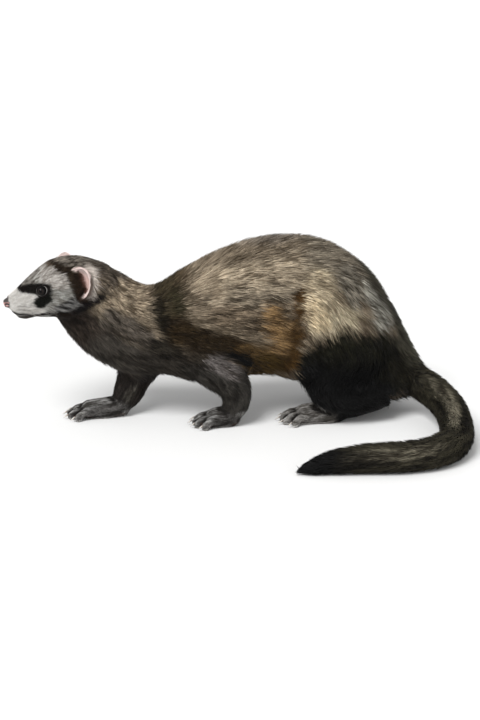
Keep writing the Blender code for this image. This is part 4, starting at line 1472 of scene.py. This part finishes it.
# %% Make both eyes
CORNEA = 0.3  # millimetres that the clear front stands out
eye_material, tree, shader = new_material("eye", 0.04, 0.08)
angle = named(tree, "from_gaze", "Fac")
ramp = add(tree, "ShaderNodeValToRGB", {0: angle})
stops = ramp.color_ramp.elements
stops[0].position, stops[0].color = 0.17, (0.002, 0.002, 0.002, 1)
stops[1].position, stops[1].color = 0.21, (0.010, 0.007, 0.006, 1)
for position, colour_here in ((0.40, (0.008, 0.006, 0.005, 1)), (0.47, (0.002, 0.002, 0.002, 1))):
    stops.new(position).color = colour_here
tree.links.new(ramp.outputs[0], shader.inputs["Base Color"])

for name, side in SIDES.items():
    bm = bmesh.new()
    bmesh.ops.create_uvsphere(bm, u_segments=56, v_segments=36, radius=EYE_RADIUS * MM)
    look = gaze(side)
    turn = Vector((0, 0, 1)).rotation_difference(look).to_matrix().to_4x4()
    bmesh.ops.transform(bm, matrix=turn, verts=bm.verts)
    angles = []
    for vert in bm.verts:
        away = vert.co.normalized().angle(look)
        vert.co *= 1 + CORNEA / EYE_RADIUS * math.exp(-((away / 0.55) ** 2))
        vert.co += eye_centre[name]
        angles.append(away / math.pi * 2)
    mesh = bpy.data.meshes.new("eyeball_" + name)
    bm.to_mesh(mesh)
    bm.free()
    store(mesh, "from_gaze", np.array(angles))
    mesh.materials.append(eye_material)
    mesh.shade_smooth()
    eye = link("eyeball_" + name, mesh)
    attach(eye, "root")
    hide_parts("eye_" + name)
print("eyes", EYE_RADIUS * 2, "mm across")

# %% [markdown]
# ## Nose
# The bare pad is a moist, finely pebbled skin with two comma-shaped nostrils that open forwards and
# to the side, and a groove down its middle to the lip. The nostrils are painted near black as painted
# shade, and the groove darker too. It starts from the nose's own solid.

# %% Make the nose pad
nose = joined("nose_pad", [welded("nose", 0.28 * MM)])
remeshed(nose, 0.28 * MM)
places = relaxed(vertices_of(nose.data), edges_of(nose.data), 6, np.ones(len(nose.data.vertices)))
move_vertices(nose.data, places)
print("nose pad:", len(nose.data.vertices), "vertices")

# %% Open its nostrils
# From the middle of the pad's front, over the top of the comma and back to its tail
NOSTRIL = [(0.3, 2.1, -1.5), (0.8, 3.0, -0.6), (2.0, 4.2, -0.9), (3.8, 4.8, -1.8), (5.4, 4.8, -2.5)]
NOSTRIL_WIDE, NOSTRIL_DEEP = 0.95, 1.25
GROOVE_WIDE, GROOVE_DEEP = 0.35, 0.45
out = normals_of(nose.data)
head = mirrored_head(places)
hole = np.exp(-((distance_to_path(head, np.array(NOSTRIL)) / NOSTRIL_WIDE) ** 2))
groove = np.exp(-((head[:, 1] / GROOVE_WIDE) ** 2)) * smooth(-head[:, 2], -0.6, 1.4)
places -= out * ((NOSTRIL_DEEP * hole + GROOVE_DEEP * groove) * MM)[:, None]
move_vertices(nose.data, places)
# painted shade: how dark the nostrils are painted, and the groove down the middle a little too
store(nose.data, "hole", np.clip(hole * 1.9 - 0.2 + 0.5 * groove, 0, 1))
store(nose.data, "top", np.maximum(smooth(head[:, 2], 0.2, 1.2), smooth(-head[:, 2], 2.0, 2.8)))
nose.data.shade_smooth()
print("vertices in the nostrils:", int((hole > 0.5).sum()))

# %% Give the pad its moist skin
nose_material, tree, shader = new_material("nose_skin", 0.48, 0.3)
where = add(tree, "ShaderNodeTexCoord").outputs["Object"]
pebbles = add(tree, "ShaderNodeTexVoronoi", {"Vector": where, "Scale": 2600.0}, feature="SMOOTH_F1")
mottle = add(tree, "ShaderNodeTexNoise", {"Vector": where, "Scale": 700.0, "Detail": 2.0})
pink = mixed(tree, mottle.outputs[0], (*linear((164, 120, 116)), 1), (*linear((196, 152, 147)), 1))
colour = mixed(tree, named(tree, "top", "Fac"), pink, (*linear((52, 47, 45)), 1))
# painted shade: the nostrils go near black, and the groove darker
colour = mixed(tree, named(tree, "hole", "Fac"), colour, (*linear((22, 16, 15)), 1))
tree.links.new(colour, shader.inputs["Base Color"])
bump = add(tree, "ShaderNodeBump", {"Height": pebbles.outputs[0], "Strength": 0.35, "Distance": 0.0002})
tree.links.new(bump.outputs["Normal"], shader.inputs["Normal"])
shader.inputs["Coat Weight"].default_value = 0.06
shader.inputs["Coat Roughness"].default_value = 0.25
nose.data.materials.clear()
nose.data.materials.append(nose_material)
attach(nose, "root")
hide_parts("nose")
print("pad in", nose_material.name)

# %% [markdown]
# ## Claws
# Each claw starts from its own solid, made round by two levels of subdivision, and its root is pushed
# back into the toe, as a real claw grows out from under the fur.

# %% Make the claws, foot by foot
claw_material, tree, shader = new_material("claw_horn", 0.32, 0.5)
where = add(tree, "ShaderNodeTexCoord").outputs["Object"]
grain = add(tree, "ShaderNodeTexNoise", {"Vector": where, "Scale": 900.0, "Detail": 2.0})
colour = mixed(tree, grain.outputs[0], (*linear((150, 145, 138)), 1), (*linear((206, 201, 194)), 1))
colour = mixed(tree, named(tree, "toward_root", "Fac"), colour, (*linear((112, 100, 92)), 1))
tree.links.new(colour, shader.inputs["Base Color"])
shader.inputs["Subsurface Weight"].default_value = 0.1

CLAW_ROOT = 1.6  # millimetres by which a claw's root is drawn out, back into the toe


def drawn_back(node):
    """A welded claw whose rear part is drawn out backwards."""
    bm = welded(node)
    low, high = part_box(node)
    for vert in bm.verts:
        vert.co.x += CLAW_ROOT * MM * max(0.0, (vert.co.x - low.x) / (high.x - low.x) - 0.55)
    return bm


def toward_root(places, foot):
    """0 at a claw's tip and 1 at its root, for places on the claws of one foot."""
    found = np.zeros(len(places))
    for number in range(1, 6):
        low, high = (np.array(corner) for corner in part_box(f"claw_{foot}_{number}"))
        inside = ((places > low - 0.6 * MM) & (places < high + 1.4 * MM)).all(axis=1)
        share = smooth((places[:, 0] - low[0]) / (high[0] - low[0]), 0.45, 1.0)
        found = np.where(inside, np.maximum(found, share), found)
    return found


for foot in LIMBS:
    claws = joined("claws_" + foot, [drawn_back(f"claw_{foot}_{number}") for number in range(1, 6)])
    rounder = claws.modifiers.new("round", "SUBSURF")
    rounder.levels = rounder.render_levels = 2
    settle(claws)
    store(claws.data, "toward_root", toward_root(vertices_of(claws.data), foot))
    claws.data.materials.clear()
    claws.data.materials.append(claw_material)
    claws.data.shade_smooth()
    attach(claws, "root")
    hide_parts(*[f"claw_{foot}_{number}" for number in range(1, 6)])
    print(claws.name, len(claws.data.polygons), "faces")

# %% [markdown]
# ## Whiskers
# The real animal has a fan of fine stiff hairs on its upper lip. Each is a thin tapering tube along a
# curve that leaves the muzzle sideways and sweeps back.

# %% Rows of whiskers, and a tube for each
WHISKER_THICK = 0.08  # millimetres, half across at the root
WHISKER_STEPS = 8
# Behind the nose, out to the side, above the middle line, and length
ROWS = [(9.0, 8.2, -2.6, 15.0), (12.0, 9.8, -3.4, 21.0), (15.0, 11.0, -4.6, 25.0), (18.5, 12.2, -5.0, 22.0)]


def tube(bm, points, radii, sides=5):
    """A closed tapering tube along a row of points."""
    rings = []
    for i, (point, radius) in enumerate(zip(points, radii)):
        along = (points[min(i + 1, len(points) - 1)] - points[max(i - 1, 0)]).normalized()
        first = along.orthogonal().normalized()
        second = along.cross(first)
        turns = [2 * math.pi * k / sides for k in range(sides)]
        spokes = [(first * math.cos(a) + second * math.sin(a)) * radius for a in turns]
        rings.append([bm.verts.new(point + spoke) for spoke in spokes])
    for near, far in zip(rings, rings[1:]):
        for k in range(sides):
            n = (k + 1) % sides
            bm.faces.new((near[k], near[n], far[n], far[k]))
    bm.faces.new(rings[0][::-1])
    bm.faces.new(rings[-1])


print("rows:", len(ROWS))

# %% Grow the whiskers
bm = bmesh.new()
for side in SIDES.values():
    for behind, aside, above, long in ROWS:
        for step_down in range(2):
            root = head_point(behind - step_down, side * (aside - 1.2), above - 1.9 * step_down)
            leave = head_left * side * 0.8 + head_back * 0.45 + head_up * (-0.2 - 0.16 * step_down)
            sweep = head_back * 0.8 + head_up * (-0.1 - 0.12 * step_down)
            reach_of_hair = long * (1 - 0.12 * step_down) * MM
            steps = [k / WHISKER_STEPS for k in range(WHISKER_STEPS + 1)]
            points = [root + (leave.normalized() * t + sweep * 0.42 * t * t) * reach_of_hair for t in steps]
            tube(bm, points, [WHISKER_THICK * MM * (1.02 - t * 0.86) for t in steps])
bmesh.ops.recalc_face_normals(bm, faces=bm.faces)
mesh = bpy.data.meshes.new("whiskers")
bm.to_mesh(mesh)
bm.free()
whiskers = link("whiskers", mesh)
print("whiskers:", len(ROWS) * 4)

# %% Give the whiskers their finish
whisker_material, tree, shader = new_material("whisker", 0.4, 0.4)
where = add(tree, "ShaderNodeTexCoord").outputs["Object"]
grain = add(tree, "ShaderNodeTexNoise", {"Vector": where, "Scale": 300.0})
colour = mixed(tree, grain.outputs[0], (*linear((172, 166, 158)), 1), (*linear((214, 209, 202)), 1))
tree.links.new(colour, shader.inputs["Base Color"])
mesh.materials.append(whisker_material)
mesh.shade_smooth()
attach(whiskers, "root")
print("whiskers in", whisker_material.name)

# %% [markdown]
# ## Put the pieces on the frame
# The skin stands for every flesh solid, and the coat rides with it.

# %% Hand the pieces over and finish
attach(skin, "root")
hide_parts(*FLESH)
SLOT_OF_ZONE = {"face_left": "face_fur", "face_right": "face_fur"}
SLOT_OF_ZONE |= {zone: "dark_fur" for zone in ("tail", "haunches", "fore_legs")}
for zone, piece in coat_pieces.items():
    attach(piece, "root")
